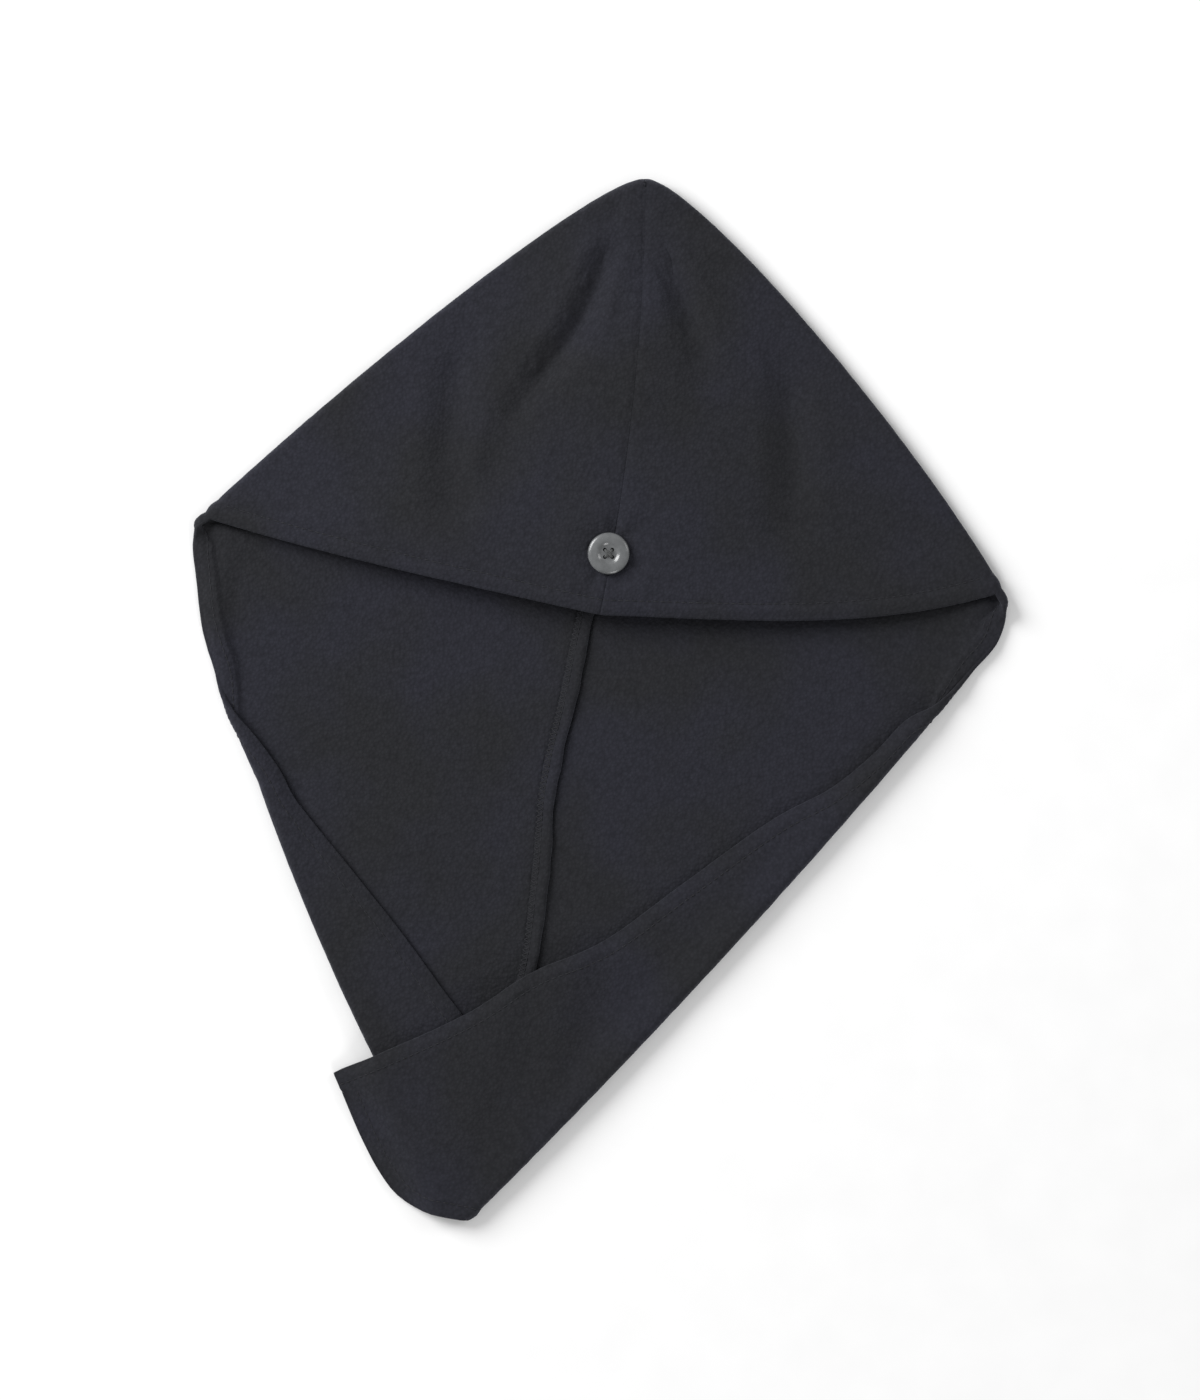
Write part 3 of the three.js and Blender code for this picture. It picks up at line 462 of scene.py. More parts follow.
def hood_fold_radius(up):
    beside_hem = mix(CREASE_RADIUS, FOLD_RADIUS, smooth(0.04, 0.12, up))
    return mix(beside_hem, PEAK_RADIUS, smooth(0.7, 1, up))


def front_height(x, y, up, out):
    at_fold = BOTTOM_HEIGHT + 2 * hood_fold_radius(up)
    crown = (RIM_HEIGHT - at_fold) * (1 - smooth(CROWN_SHARE, 1, up))
    domed = smooth(0, 1, 1 - out) ** DOME_POWER
    fade = smooth(*SIDE_FADE, 1 - out) * smooth(*RIM_FADE, up) * (1 - smooth(*PEAK_FADE, up))
    slow, soft = WAVE_HEIGHTS
    waves = slow * slow_wave(x + 900, y + 900) + soft * soft_wave(x + 300, 0.6 * y + 100)
    seam_place, _ = bezier(front_seam, up)
    from_seam = np.abs(x - seam_place[..., 0])
    over_ridges = (CLOTH + RIDGE_GAP * 2 + RIDGE_THICKNESS) * 2 - BOTTOM_HEIGHT
    held = over_ridges * (1 - smooth(0.8 * RIDGE_WIDTH, 4 * RIDGE_WIDTH, from_seam))
    height = np.maximum(at_fold + crown * domed + (waves - dents_at(x, y)) * fade, held)
    dx, dy = x - BUTTON_SHIFT, y - BUTTON_UP
    from_button = np.hypot(dx, dy) / BUTTON_DIAMETER
    seated = mix(BUTTON_SEAT, height, smooth(*BUTTON_SEAT_REACH, from_button))
    turn = np.arctan2(dy, dx)
    gathers = np.sin(7 * turn + 0.8) + 0.6 * np.sin(11 * turn + 2.1)
    reach = smooth(*GATHER_START, from_button) * (1 - smooth(*GATHER_END, from_button))
    return seated + (GATHER_HEIGHT + GATHER_SWING * gathers) * reach


def panel_shape(side):
    crease = Crease(side)
    corner = np.array([side["sign"] * side["reach"], side["lift"]])
    folded_edge = [
        corner,
        np.array([
            side["sign"] * side["reach"] * (1 - side["corner_out"]),
            side["lift"] + side["corner_up"] * HOOD_LENGTH,
        ]),
        np.array([PEAK[0] + side["sign"] * side["peak_pull"] * side["reach"], PEAK[1]]),
        PEAK,
    ]
    edge = [np.array([side["sign"] * out * side["reach"], -down * TAIL_LENGTH]) for out, down in side["edge"]]
    edge[0] = corner
    free_edge = rounded_path(edge + [unfolded(side, crease, row) for row in side["flap"]])
    end = [unfolded(side, crease, row) for row in side["end"]]
    end[0] = back_seam.points[-1]
    tail_end = rounded_path(end)
    return {
        "side": side,
        "crease": crease,
        "folded_edge": folded_edge,
        "free_edge": free_edge,
        "tail_end": tail_end,
        "edge_path": Path(free_edge.at(np.linspace(0, 1, 181))),
        "end_path": Path(tail_end.at(np.linspace(0, 1, 61))),
    }


def cut_places(shape, down, shares):
    """Places in the flat cut: one row at each down, from the seam to the free edge."""
    side = shape["side"]
    start = back_seam.at(down) + across_of(back_seam.heading(down)) * side["sign"] * SEAM_GAP / 2
    finish = shape["free_edge"].at(down)
    bend = smooth(0.62, 1, down)[:, None, None]
    end_line = mix(shape["tail_end"].points[0], shape["tail_end"].points[-1], shares[..., None])
    bulge = shape["tail_end"].at(shares) - end_line
    return mix(start[:, None], finish[:, None], shares[..., None]) + bulge * bend


def column_shares(shape, down):
    side, crease = shape["side"], shape["crease"]
    steps = np.broadcast_to(np.linspace(0, 1, 401), (len(down), 401))
    places = cut_places(shape, down, steps)
    run = np.linalg.norm(np.diff(places, axis=1), axis=-1)
    lengths = np.concatenate([np.zeros((len(down), 1)), np.cumsum(run, axis=1)], axis=1)
    offset = places - crease.start
    radius = crease_radius(side, offset @ crease.along)
    past = offset @ crease.outward + radius + CLOTH / 2
    total = lengths[:, -1]
    last = total - EDGE_ROUND * CLOTH

    def first(mask):
        where = np.take_along_axis(lengths, mask.argmax(1)[:, None], 1)[:, 0]
        return np.where(mask.any(1), where, np.inf)

    flat_end = np.minimum(last - HEM_WIDTH, first(past > 0))
    curve_end = np.minimum(first(past > math.pi * radius), last)
    band = last - CURL_BAND
    flat_end = np.minimum(flat_end, band - 3)
    curve_end = np.minimum(curve_end, band - 1.5)
    hem_start = np.maximum(band - 3, mix(curve_end, band, 0.5))

    def stretch(start, end, count, power=1.0):
        return mix(start[:, None], end[:, None], (np.arange(count) / count) ** power)

    columns = np.concatenate([
        stretch(np.zeros_like(last), flat_end, FLAT_COLUMNS),
        stretch(flat_end, curve_end, CREASE_COLUMNS),
        stretch(curve_end, hem_start, MIDDLE_COLUMNS, 1.2),
        stretch(hem_start, band, HEM_COLUMNS),
        stretch(band, last, ARC_COLUMNS),
        last[:, None],
    ], axis=1)
    return np.stack([np.interp(c, row, steps[0]) for c, row in zip(columns, lengths)])


def hood_ups():
    start = EDGE_ROUND * CLOTH
    hem = np.linspace(start, HEM_WIDTH + 3.5, 13)
    button = np.linspace(hem[-1], BUTTON_UP + 1.2 * BUTTON_DIAMETER, 27)[1:]
    rest = np.linspace(button[-1], HOOD_LENGTH, 74)[1:]
    return np.concatenate([hem, button, rest]) / HOOD_LENGTH


def hood_grid(shape, shares):
    """Rows from the rim to the peak: out over the front, round the folded edge, and back under to the seam."""
    side = shape["side"]
    sign = side["sign"]
    up = hood_ups()
    radius = hood_fold_radius(up)
    outline, heading = bezier(shape["folded_edge"], up)
    outward = np.stack([-heading[:, 1], heading[:, 0]], -1)
    outward = outward * (1 if sign < 0 else -1)
    outward = np.where(outward[:, 1:2] < 0, -outward, outward)
    arc_middle = outline - outward * (radius + CLOTH / 2)[:, None]
    front_place, front_heading = bezier(front_seam, up)
    back_place, back_heading = bezier(hood_back_seam, up)
    front_start = front_place + across_of(front_heading) * sign * SEAM_GAP / 2
    back_end = back_place + across_of(back_heading) * sign * SEAM_GAP / 2
    front_start[-1, 1] = arc_middle[-1, 1]
    back_end[-1, 1] = arc_middle[-1, 1]
    arc_middle[-1, 0] = front_start[-1, 0]

    out = (np.arange(TOP_COLUMNS + 1) / TOP_COLUMNS) ** 1.2
    top = mix(front_start[:, None], arc_middle[:, None], out[:, None])
    sag = 4 * out * (1 - out) * (0.5 + out)
    top[..., 1] -= side["rim_sag"] * side["reach"] * (1 - up[:, None]) * sag
    height = front_height(top[..., 0], top[..., 1], up[:, None], out)
    top = with_height(top, height)

    angle = math.pi * (0.5 - np.arange(1, ARC_COLUMNS) / ARC_COLUMNS)
    round_edge = arc_middle[:, None] + outward[:, None] * (radius[:, None] * np.cos(angle))[..., None]
    round_edge = with_height(round_edge, BOTTOM_HEIGHT + radius[:, None] * (1 + np.sin(angle)))

    shares = shares[:BACK_COLUMNS + 1] / shares[BACK_COLUMNS]
    under = mix(arc_middle[:, None], back_end[:, None], (1 - shares[::-1])[:, None])
    edge_distance, _ = nearest_on(under, shape["edge_path"])
    under = with_height(under, BOTTOM_HEIGHT)

    points = np.concatenate([top, round_edge, under], axis=1)
    rim_distance = np.repeat((up * HOOD_LENGTH)[:, None], TOP_COLUMNS + ARC_COLUMNS, 1)
    edge = np.concatenate([rim_distance, edge_distance], 1)
    across = np.concatenate([
        np.repeat(across_of(front_heading)[:, None], TOP_COLUMNS + ARC_COLUMNS, 1),
        np.repeat(across_of(back_heading)[:, None], BACK_COLUMNS + 1, 1),
    ], 1)
    seam = np.zeros(points.shape[:2], bool)
    seam[:, 0] = True
    seam[:, -1] = True
    seam[-1] = True
    front = np.zeros(points.shape[:2])
    front[:, :TOP_COLUMNS + ARC_COLUMNS // 2] = 1
    return {
        "points": points,
        "edge": edge,
        "end": np.full(edge.shape, 999.0),
        "across": across,
        "seam": seam,
        "front": front,
        "outward": outward[0],
    }


def back_grid(shape):
    """Rows of the tail from under the rim to its end: out from the seam, round the crease and back over."""
    side = shape["side"]
    down = np.concatenate([[0.0, FIRST_ROW], (np.arange(2, BACK_ROWS + 1) / BACK_ROWS) ** ROW_CROWDING])
    shares = column_shares(shape, down)
    cut = cut_places(shape, down, shares)
    edge_distance, along_edge = nearest_on(cut, shape["edge_path"])
    end_distance, _ = nearest_on(cut, shape["end_path"])
    points = fold(side, shape["crease"], cut, edge_distance)
    first, last = side["roll"]
    width = mix(ROLL_WIDTH, ROLL_NARROW, smooth(first, last, along_edge))
    roll = np.sin(math.pi * np.clip(edge_distance / width, 0, 1)) ** 2
    roll = roll * smooth(first, first + ROLL_STARTS, along_edge)
    roll = roll * (1 - smooth(last - ROLL_ENDS, last, along_edge))
    points[..., 2] += side["roll_height"] * roll
    corner = np.array([side["sign"] * side["reach"], side["lift"]])
    beside = 1 - smooth(0.15 * CORNER_REACH, CORNER_REACH, np.linalg.norm(points[..., :2] - corner, axis=-1))
    beside = beside * smooth(CURL_BAND - 2, CURL_BAND + 12, edge_distance)
    below = down[:, None] * shape["free_edge"].lengths[-1]
    swell = smooth(*CORNER_SWELL, below) * (1 - smooth(*CORNER_FALL, below)) * beside
    points[..., 2] += CORNER_BULGE * swell
    across = across_of(back_seam.heading(down))
    seam = np.zeros(points.shape[:2], bool)
    seam[:, 0] = True
    return {
        "points": points,
        "edge": edge_distance,
        "end": end_distance,
        "across": np.repeat(across[:, None], points.shape[1], 1),
        "seam": seam,
        "front": np.zeros(points.shape[:2]),
        "shares": shares,
        "down": down,
    }


def curl_corner(shape, hood, back):
    """Below the corner the free edge still turns up, as the rim does, and opens out flat along its length."""
    radius = CREASE_RADIUS
    for j, down in enumerate(back["down"]):
        turn = 1 - smooth(0, CURL_LENGTH, down * shape["free_edge"].lengths[-1])
        if j == 0 or turn < 0.01:
            continue
        seam_place = back["points"][j, 0, :2]
        finish = shape["free_edge"].at(down)
        row = finish - seam_place
        length = np.linalg.norm(row)
        row = row / length
        bend = turn / radius
        extent = 1 / bend if turn > 0.5 else math.sin(bend * CURL_BAND) / bend
        direction = unit(mix(row, hood["outward"], turn))
        base = finish - direction * (extent + CLOTH / 2)
        shares = back["shares"][j, :BACK_COLUMNS + 1] / back["shares"][j, BACK_COLUMNS]
        back["points"][j, :BACK_COLUMNS + 1, :2] = mix(seam_place, base, shares[:, None])
        run = CURL_BAND * np.arange(1, ARC_COLUMNS + 1) / ARC_COLUMNS
        back["points"][j, BACK_COLUMNS + 1:, :2] = base + direction * (np.sin(bend * run) / bend)[:, None]
        back["points"][j, BACK_COLUMNS + 1:, 2] = BOTTOM_HEIGHT + (1 - np.cos(bend * run)) / bend
        back["edge"][j, BACK_COLUMNS + 1:] = CURL_BAND - run + EDGE_ROUND * CLOTH


# Meshes

def object_from(name, vertices, faces, material):
    """A mesh object placed in the row frame, from millimetres."""
    mesh = bpy.data.meshes.new(name)
    placed = (np.asarray(vertices) + SHIFT) * 0.001
    mesh.from_pydata(placed.tolist(), [], [list(map(int, face)) for face in faces])
    mesh.materials.append(material)
    mesh.polygons.foreach_set("use_smooth", [True] * len(mesh.polygons))
    mesh.update()
    piece = bpy.data.objects.new(name, mesh)
    bpy.context.scene.collection.objects.link(piece)
    return piece


def welded(grids):
    """One list of points and quads from several grids whose edges meet."""
    points = np.concatenate([grid["points"].reshape(-1, 3) for grid in grids])
    keys = np.round(points * 1e3).astype(np.int64)
    _, first, inverse = np.unique(keys, axis=0, return_index=True, return_inverse=True)
    inverse = inverse.reshape(-1)
    indices, quads = [], []
    start = 0
    for grid in grids:
        rows, columns = grid["points"].shape[:2]
        index = inverse[start:start + rows * columns].reshape(rows, columns)
        start += rows * columns
        corners = [index[:-1, :-1], index[:-1, 1:], index[1:, 1:], index[1:, :-1]]
        quads.append(np.stack(corners, -1).reshape(-1, 4))
        indices.append(index)
    return first, indices, np.concatenate(quads)


def triangles_of(quads):
    triangles = np.concatenate([quads[:, [0, 1, 2]], quads[:, [0, 2, 3]]])
    a, b, c = triangles.T
    return triangles[(a != b) & (b != c) & (a != c)]


def face_normals(points, triangles):
    a, b, c = (points[triangles[:, k]] for k in range(3))
    return np.cross(b - a, c - a)


def unit(vectors):
    return vectors / np.maximum(np.linalg.norm(vectors, axis=-1, keepdims=True), 1e-12)


def point_normals(points, triangles):
    normals = np.zeros_like(points)
    faces = face_normals(points, triangles)
    for k in range(3):
        np.add.at(normals, triangles[:, k], faces)
    return unit(normals)


pile_noise = [lattice_noise(seed, period) for seed, period in ((21, 3.1), (22, 5.7), (23, 2.3))]


def pile_at(u, v):
    return 0.5 * pile_noise[0](u, v) + 0.35 * pile_noise[1](u, v) + 0.3 * pile_noise[2](u, v)


def panel_mesh(side):
    shape = panel_shape(side)
    back = back_grid(shape)
    hood = hood_grid(shape, back["shares"][0])
    curl_corner(shape, hood, back)
    back["points"][0] = hood["points"][0, TOP_COLUMNS:][::-1]
    back["edge"][0] = hood["edge"][0, TOP_COLUMNS:][::-1]

    for grid in (hood, back):
        x, y = grid["points"][..., 0], grid["points"][..., 1]
        grid["points"][..., 2] += lift_at(x, y)

    grids = (hood, back)
    first, indices, quads = welded(grids)

    def gathered(key):
        return np.concatenate([grid[key].reshape((-1,) + grid[key].shape[2:]) for grid in grids])[first]

    points = gathered("points")
    edge = gathered("edge")
    end = gathered("end")
    across = gathered("across")
    seam = gathered("seam")
    front = gathered("front")

    triangles = triangles_of(quads)
    if side["sign"] < 0:
        triangles = triangles[:, ::-1]
    normals = point_normals(points, triangles)
    across3 = with_height(across, 0)
    held = normals - across3 * np.sum(normals * across3, 1)[:, None]
    normals = np.where(seam[:, None], unit(held), normals)

    x, y, z = points.T
    pile = pile_at(x + 37 * front + 500, y + 0.7 * z + 500)
    edge_near = np.minimum(edge, end)
    puff = HEM_PUFF * np.clip(1 - ((edge_near - STITCH_LINE / 2) / (STITCH_LINE / 2)) ** 2, 0, 1)
    along_edge = np.where(front > 0, x, y)
    gather = 1 + 0.45 * np.sin(along_edge * 2 * math.pi / HEM_GATHER_PITCH + 1.3 * np.sin(along_edge / 17))
    depth = mix(TAIL_STITCH_PULL, STITCH_PULL, front)
    pull = depth * np.exp(-((edge_near - STITCH_LINE) / 1.4) ** 2) * gather
    fall = EDGE_FALL * (1 - smooth(-1, EDGE_FALL_WIDTH, edge_near))
    on_flap = smooth(0, 0.6, normals[:, 2]) * (front == 0)
    flap_fall = FLAP_FALL * (1 - smooth(-1, FLAP_FALL_WIDTH, edge_near))
    from_seam = seam_distance(points, front)
    seam_wave = np.sin(y * 2 * math.pi / SEAM_GATHER_PITCH + 0.9 * np.sin(y / 13))
    groove = SEAM_PULL * np.exp(-(from_seam / 1.6) ** 2) * (1 + 0.3 * seam_wave)
    ruffle = 0.16 * seam_wave * np.exp(-(from_seam / 9) ** 2)
    outer_extra = PILE_DEPTH * pile + puff - pull - groove + ruffle - mix(fall, flap_fall, on_flap)
    pile_inside = pile_at(x + 37 * front + 900, y + 0.7 * z + 100)
    inner_extra = PILE_DEPTH * pile_inside - 0.6 * pull - 0.4 * groove - 0.8 * fall

    outer = points + normals * (CLOTH / 2 + outer_extra)[:, None]
    inner = points - normals * (CLOTH / 2 + hem_at(edge) + inner_extra)[:, None]
    # the underside keeps off the surface
    outer[:, 2] = np.maximum(outer[:, 2], 0.05)
    inner[:, 2] = np.maximum(inner[:, 2], 0.05)
    return {
        "grids": grids, "indices": indices, "triangles": triangles, "normals": normals, "points": points,
        "outer": outer, "inner": inner, "seam": seam, "across": across3,
    }


def seam_distance(points, front):
    """Distance in plan to the long seam of the layer that a point is on."""
    share = np.linspace(0, 1, 121)
    front_path = Path(bezier(front_seam, share)[0])
    back_path = Path(np.vstack([bezier(hood_back_seam, share)[0][::-1], back_seam.at(share)[1:]]))
    on_front, _ = nearest_on(points[:, :2], front_path)
    on_back, _ = nearest_on(points[:, :2], back_path)
    return np.where(front > 0, on_front, on_back)


def closed_panel(name, panel, material):
    """Joins the outer and inner skins round all the edges: free edges rounded, seam edges flat."""
    outer, inner, triangles = panel["outer"], panel["inner"], panel["triangles"]
    seam, normals = panel["seam"], panel["normals"]
    count = len(outer)
    edges = np.concatenate([triangles[:, [0, 1]], triangles[:, [1, 2]], triangles[:, [2, 0]]])
    keys = edges[:, 0] * count + edges[:, 1]
    reverse = edges[:, 1] * count + edges[:, 0]
    rims = edges[~np.isin(keys, reverse)]
    is_seam = seam[rims[:, 0]] & seam[rims[:, 1]]
    vertices = [outer, inner]
    faces = [triangles, triangles[:, ::-1] + count]
    flat = rims[is_seam]
    faces.append(np.stack([flat[:, 1], flat[:, 0], flat[:, 0] + count], -1))
    faces.append(np.stack([flat[:, 1], flat[:, 0] + count, flat[:, 1] + count], -1))

    free = rims[~is_seam]
    outwards = np.zeros_like(outer)
    run = panel["points"][free[:, 1]] - panel["points"][free[:, 0]]
    for k in range(2):
        np.add.at(outwards, free[:, k], unit(np.cross(run, normals[free[:, k]])))
    at_edge = np.unique(free)
    outwards = outwards[at_edge]
    across = panel["across"][at_edge]
    level = outwards - across * np.sum(outwards * across, 1)[:, None]
    outwards = unit(np.where(seam[at_edge][:, None], level, outwards))
    middle = (outer[at_edge] + inner[at_edge]) / 2
    half = (outer[at_edge] - inner[at_edge]) / 2
    depth = 2 * EDGE_ROUND * np.linalg.norm(half, axis=1)
    rings = []
    start = 2 * count
    place = np.zeros(count, int)
    place[at_edge] = np.arange(len(at_edge))
    for angle in (0.9, 0.45, 0.0, -0.45, -0.9):
        turn = angle * math.pi / 2 * 0.9
        vertices.append(middle + half * math.sin(turn) + outwards * (depth * math.cos(turn))[:, None])
        rings.append(start + place)
        start += len(at_edge)
    p, q = free.T
    chain_p = [p] + [ring[p] for ring in rings] + [p + count]
    chain_q = [q] + [ring[q] for ring in rings] + [q + count]
    for k in range(len(chain_p) - 1):
        a, b, c, d = chain_q[k], chain_p[k], chain_p[k + 1], chain_q[k + 1]
        faces.append(np.stack([a, b, c], -1))
        faces.append(np.stack([a, c, d], -1))
    for ends, chain, turned in ((p, chain_p, False), (q, chain_q, True)):
        mask = seam[ends]
        for k in range(1, len(chain) - 1):
            fan = np.stack([chain[0][mask], chain[k + 1][mask], chain[k][mask]], -1)
            faces.append(fan[:, ::-1] if turned else fan)
    return object_from(name, np.vstack(vertices), np.vstack(faces), material)


def ring_faces(rings, sides, start=0):
    """Quads between rings of points that follow one another in the list."""
    faces = []
    for i in range(rings - 1):
        for k in range(sides):
            a, b = start + i * sides + k, start + i * sides + (k + 1) % sides
            faces.append((a, b, b + sides, a + sides))
    return faces


def tube_mesh(points, radius, sides, normal_hint=(0, 0, 1)):
    """Vertices and faces of a closed tube with domed ends along a route."""
    points = np.asarray(points, float)
    run = unit(np.gradient(points, axis=0))
    hint = np.asarray(normal_hint, float)
    frames = []
    for heading in run:
        hint = hint - heading * (hint @ heading)
        if np.linalg.norm(hint) < 1e-6:
            hint = np.cross(heading, [1.0, 0.2, 0.1])
        hint = hint / np.linalg.norm(hint)
        frames.append((hint, np.cross(heading, hint)))
    radii = np.broadcast_to(radius, len(points)).astype(float)
    angle = 2 * math.pi * np.arange(sides) / sides
    rings = [
        point + r * (np.cos(angle)[:, None] * a + np.sin(angle)[:, None] * b)
        for point, r, (a, b) in zip(points, radii, frames)
    ]
    first_tip = points[0] - run[0] * radii[0] * 0.6
    last_tip = points[-1] + run[-1] * radii[-1] * 0.6
    vertices = np.vstack(rings + [first_tip[None], last_tip[None]])
    faces = ring_faces(len(points), sides)
    tip = len(points) * sides
    end = (len(points) - 1) * sides
    for k in range(sides):
        faces.append((tip, (k + 1) % sides, k))
        faces.append((tip + 1, end + k, end + (k + 1) % sides))
    return vertices, faces


def joined(parts):
    vertices, faces = [], []
    start = 0
    for part_vertices, part_faces in parts:
        vertices.append(part_vertices)
        faces.extend(tuple(index + start for index in face) for face in part_faces)
        start += len(part_vertices)
    return np.vstack(vertices), faces


# Stitching

def stitches_along(places, normals, pitch=STITCH_PITCH, length=STITCH_LENGTH):
    """Short threads lying on the cloth along a route, each end sunk into it."""
    lengths = run_of(places)
    parts = []
    count = int(lengths[-1] / pitch)
    rise = np.array([-0.5, -0.05, 0.12, 0.15, 0.12, -0.05, -0.5])
    for k in range(count):
        middle = (k + 0.5) * pitch
        spots = middle + length * np.array([-0.5, -0.4, -0.2, 0.0, 0.2, 0.4, 0.5])
        if spots[0] < 0 or spots[-1] > lengths[-1]:
            continue
        place = read_along(spots, lengths, places)
        normal = unit(read_along(spots, lengths, normals))
        parts.append(tube_mesh(place + normal * rise[:, None], STITCH_RADIUS, 6, normal[3]))
    return parts


def stitch_route(panel, grid, key, outside, over_columns=False, limit=None):
    """Where the distance from an edge comes to STITCH_LINE in each line of a grid, on one of the skins."""
    values, index = panel["grids"][grid][key], panel["indices"][grid]
    if over_columns:
        values, index = values[:, :limit].T, index[:, :limit].T
    skin = panel["outer"] if outside else panel["inner"]
    normals = panel["normals"] if outside else -panel["normals"]
    places, directions = [], []
    for line, spots in zip(values, index):
        over = (line[:-1] - STITCH_LINE) * (line[1:] - STITCH_LINE) <= 0
        if not over.any():
            continue
        k = np.nonzero(over)[0][-1]
        share = (line[k] - STITCH_LINE) / (line[k] - line[k + 1] + 1e-9)
        places.append(mix(skin[spots[k]], skin[spots[k + 1]], share))
        directions.append(mix(normals[spots[k]], normals[spots[k + 1]], share))
    return np.array(places), unit(np.array(directions))


def hem_stitches(panel):
    routes = [
        stitch_route(panel, 0, "edge", True, True, TOP_COLUMNS + 1),
        stitch_route(panel, 1, "edge", True),
        stitch_route(panel, 1, "edge", False),
        stitch_route(panel, 1, "end", True, True, BACK_COLUMNS),
    ]
    return [part for places, normals in routes for part in stitches_along(places, normals)]


# The seam's allowances

def ridge_route():
    """Stations along the inside of the seam: place, direction to the right and direction off the cloth."""
    lift = CLOTH / 2 + RIDGE_GAP + RIDGE_THICKNESS / 2
    arc_y = PEAK[1] - PEAK_RADIUS - CLOTH / 2
    up = np.linspace((HEM_WIDTH + 3) / HOOD_LENGTH, RIDGE_END, 90)
    place, heading = bezier(front_seam, up)
    height = front_height(place[:, 0], place[:, 1], up, np.zeros_like(up)) - lift - RIDGE_GAP
    place[:, 1] = np.minimum(place[:, 1], arc_y)
    front = with_height(place, height)
    front_right = with_height(across_of(heading), 0)

    angle = math.pi * (0.5 - np.arange(1, 10) / 10)
    radius = PEAK_RADIUS - lift - RIDGE_GAP
    turn = np.stack([
        np.full(9, PEAK[0]),
        arc_y + radius * np.cos(angle),
        BOTTOM_HEIGHT + PEAK_RADIUS + radius * np.sin(angle),
    ], -1)
    turn_inward = np.stack([np.zeros(9), -np.cos(angle), -np.sin(angle)], -1)

    under, under_heading = bezier(hood_back_seam, np.linspace(RIDGE_END, 0, 90))
    under[:, 1] = np.minimum(under[:, 1], arc_y)
    down = np.linspace(0, RIDGE_END, 171)[1:]
    tail, tail_heading = back_seam.at(down), back_seam.heading(down)
    flat = np.concatenate([under, tail])
    flat_right = np.concatenate([across_of(under_heading), across_of(tail_heading)])
    back = with_height(flat, BOTTOM_HEIGHT + lift)
    back_right = with_height(flat_right, 0)

    places = np.concatenate([front, turn, back])
    places[:, 2] += lift_at(places[:, 0], places[:, 1])
    rights = np.concatenate([front_right, np.repeat([[1.0, 0, 0]], 9, 0), back_right])
    inwards = np.concatenate([
        np.repeat([[0, 0, -1.0]], len(front), 0), turn_inward, np.repeat([[0, 0, 1.0]], len(back), 0)
    ])
    return places, unit(rights), inwards, len(front) + len(turn)


def ridge_sizes(places):
    trim = smooth(*RIDGE_TRIM, places[:, 1] / HOOD_LENGTH)
    return mix(RIDGE_WIDTH, RIDGE_PEAK_WIDTH, trim), mix(RIDGE_SIDE, RIDGE_PEAK_SIDE, trim)


def ridge_top(level, on_tail):
    """Height of the ridge's upper face above its middle, from -0.5 at its left edge to 0.5 at its right."""
    hump = smooth(-0.62, 0.2, level) * np.sqrt(np.clip(1 - (np.maximum(level - 0.2, 0) / 0.3) ** 2, 0, 1))
    return mix(0.75 * hump, 1.35 * hump, on_tail) * 1.1 - EDGE_DROP * (1 - smooth(-0.5, 0.1, level))


def ridge_mesh():
    places, rights, inwards, _ = ridge_route()
    widths, asides = ridge_sizes(places)
    run = run_of(places)
    wave = 0.55 * np.sin(run / 8.3 + 1.2 * np.sin(run / 19)) + 0.28 * np.sin(run / 2.9 + np.sin(run / 7))
    on_tail = smooth(-4, -16, places[:, 1])
    sides = 24
    angle = 2 * math.pi * np.arange(sides) / sides
    level = np.sign(np.cos(angle)) * np.abs(np.cos(angle)) ** 0.75 * 0.5
    rise = np.sign(np.sin(angle)) * np.abs(np.sin(angle)) ** 0.75
    upper = ridge_top(level[None], on_tail[:, None])
    lower = 1.25 * rise * RIDGE_THICKNESS / 2 * smooth(-0.5, -0.2, level)
    lower = np.maximum(lower - EDGE_DROP * (1 - smooth(-0.5, 0.1, level)), -RIDGE_LOWEST)
    lower = np.minimum(lower, upper - 0.05)
    offset = level[None] * (widths + wave * (widths / RIDGE_WIDTH))[:, None] - asides[:, None]
    swell = 1 + 0.12 * np.sin(run / 3.7)[:, None]
    height = np.where(rise > 0, upper * swell, lower)
    vertices = places[:, None] + rights[:, None] * offset[..., None] + inwards[:, None] * height[..., None]
    faces = [(a, d, c, b) for a, b, c, d in ring_faces(len(places), sides)]
    faces.append(tuple(range(sides)))
    faces.append(tuple(range((len(places) - 1) * sides, len(places) * sides))[::-1])
    return vertices.reshape(-1, 3), faces


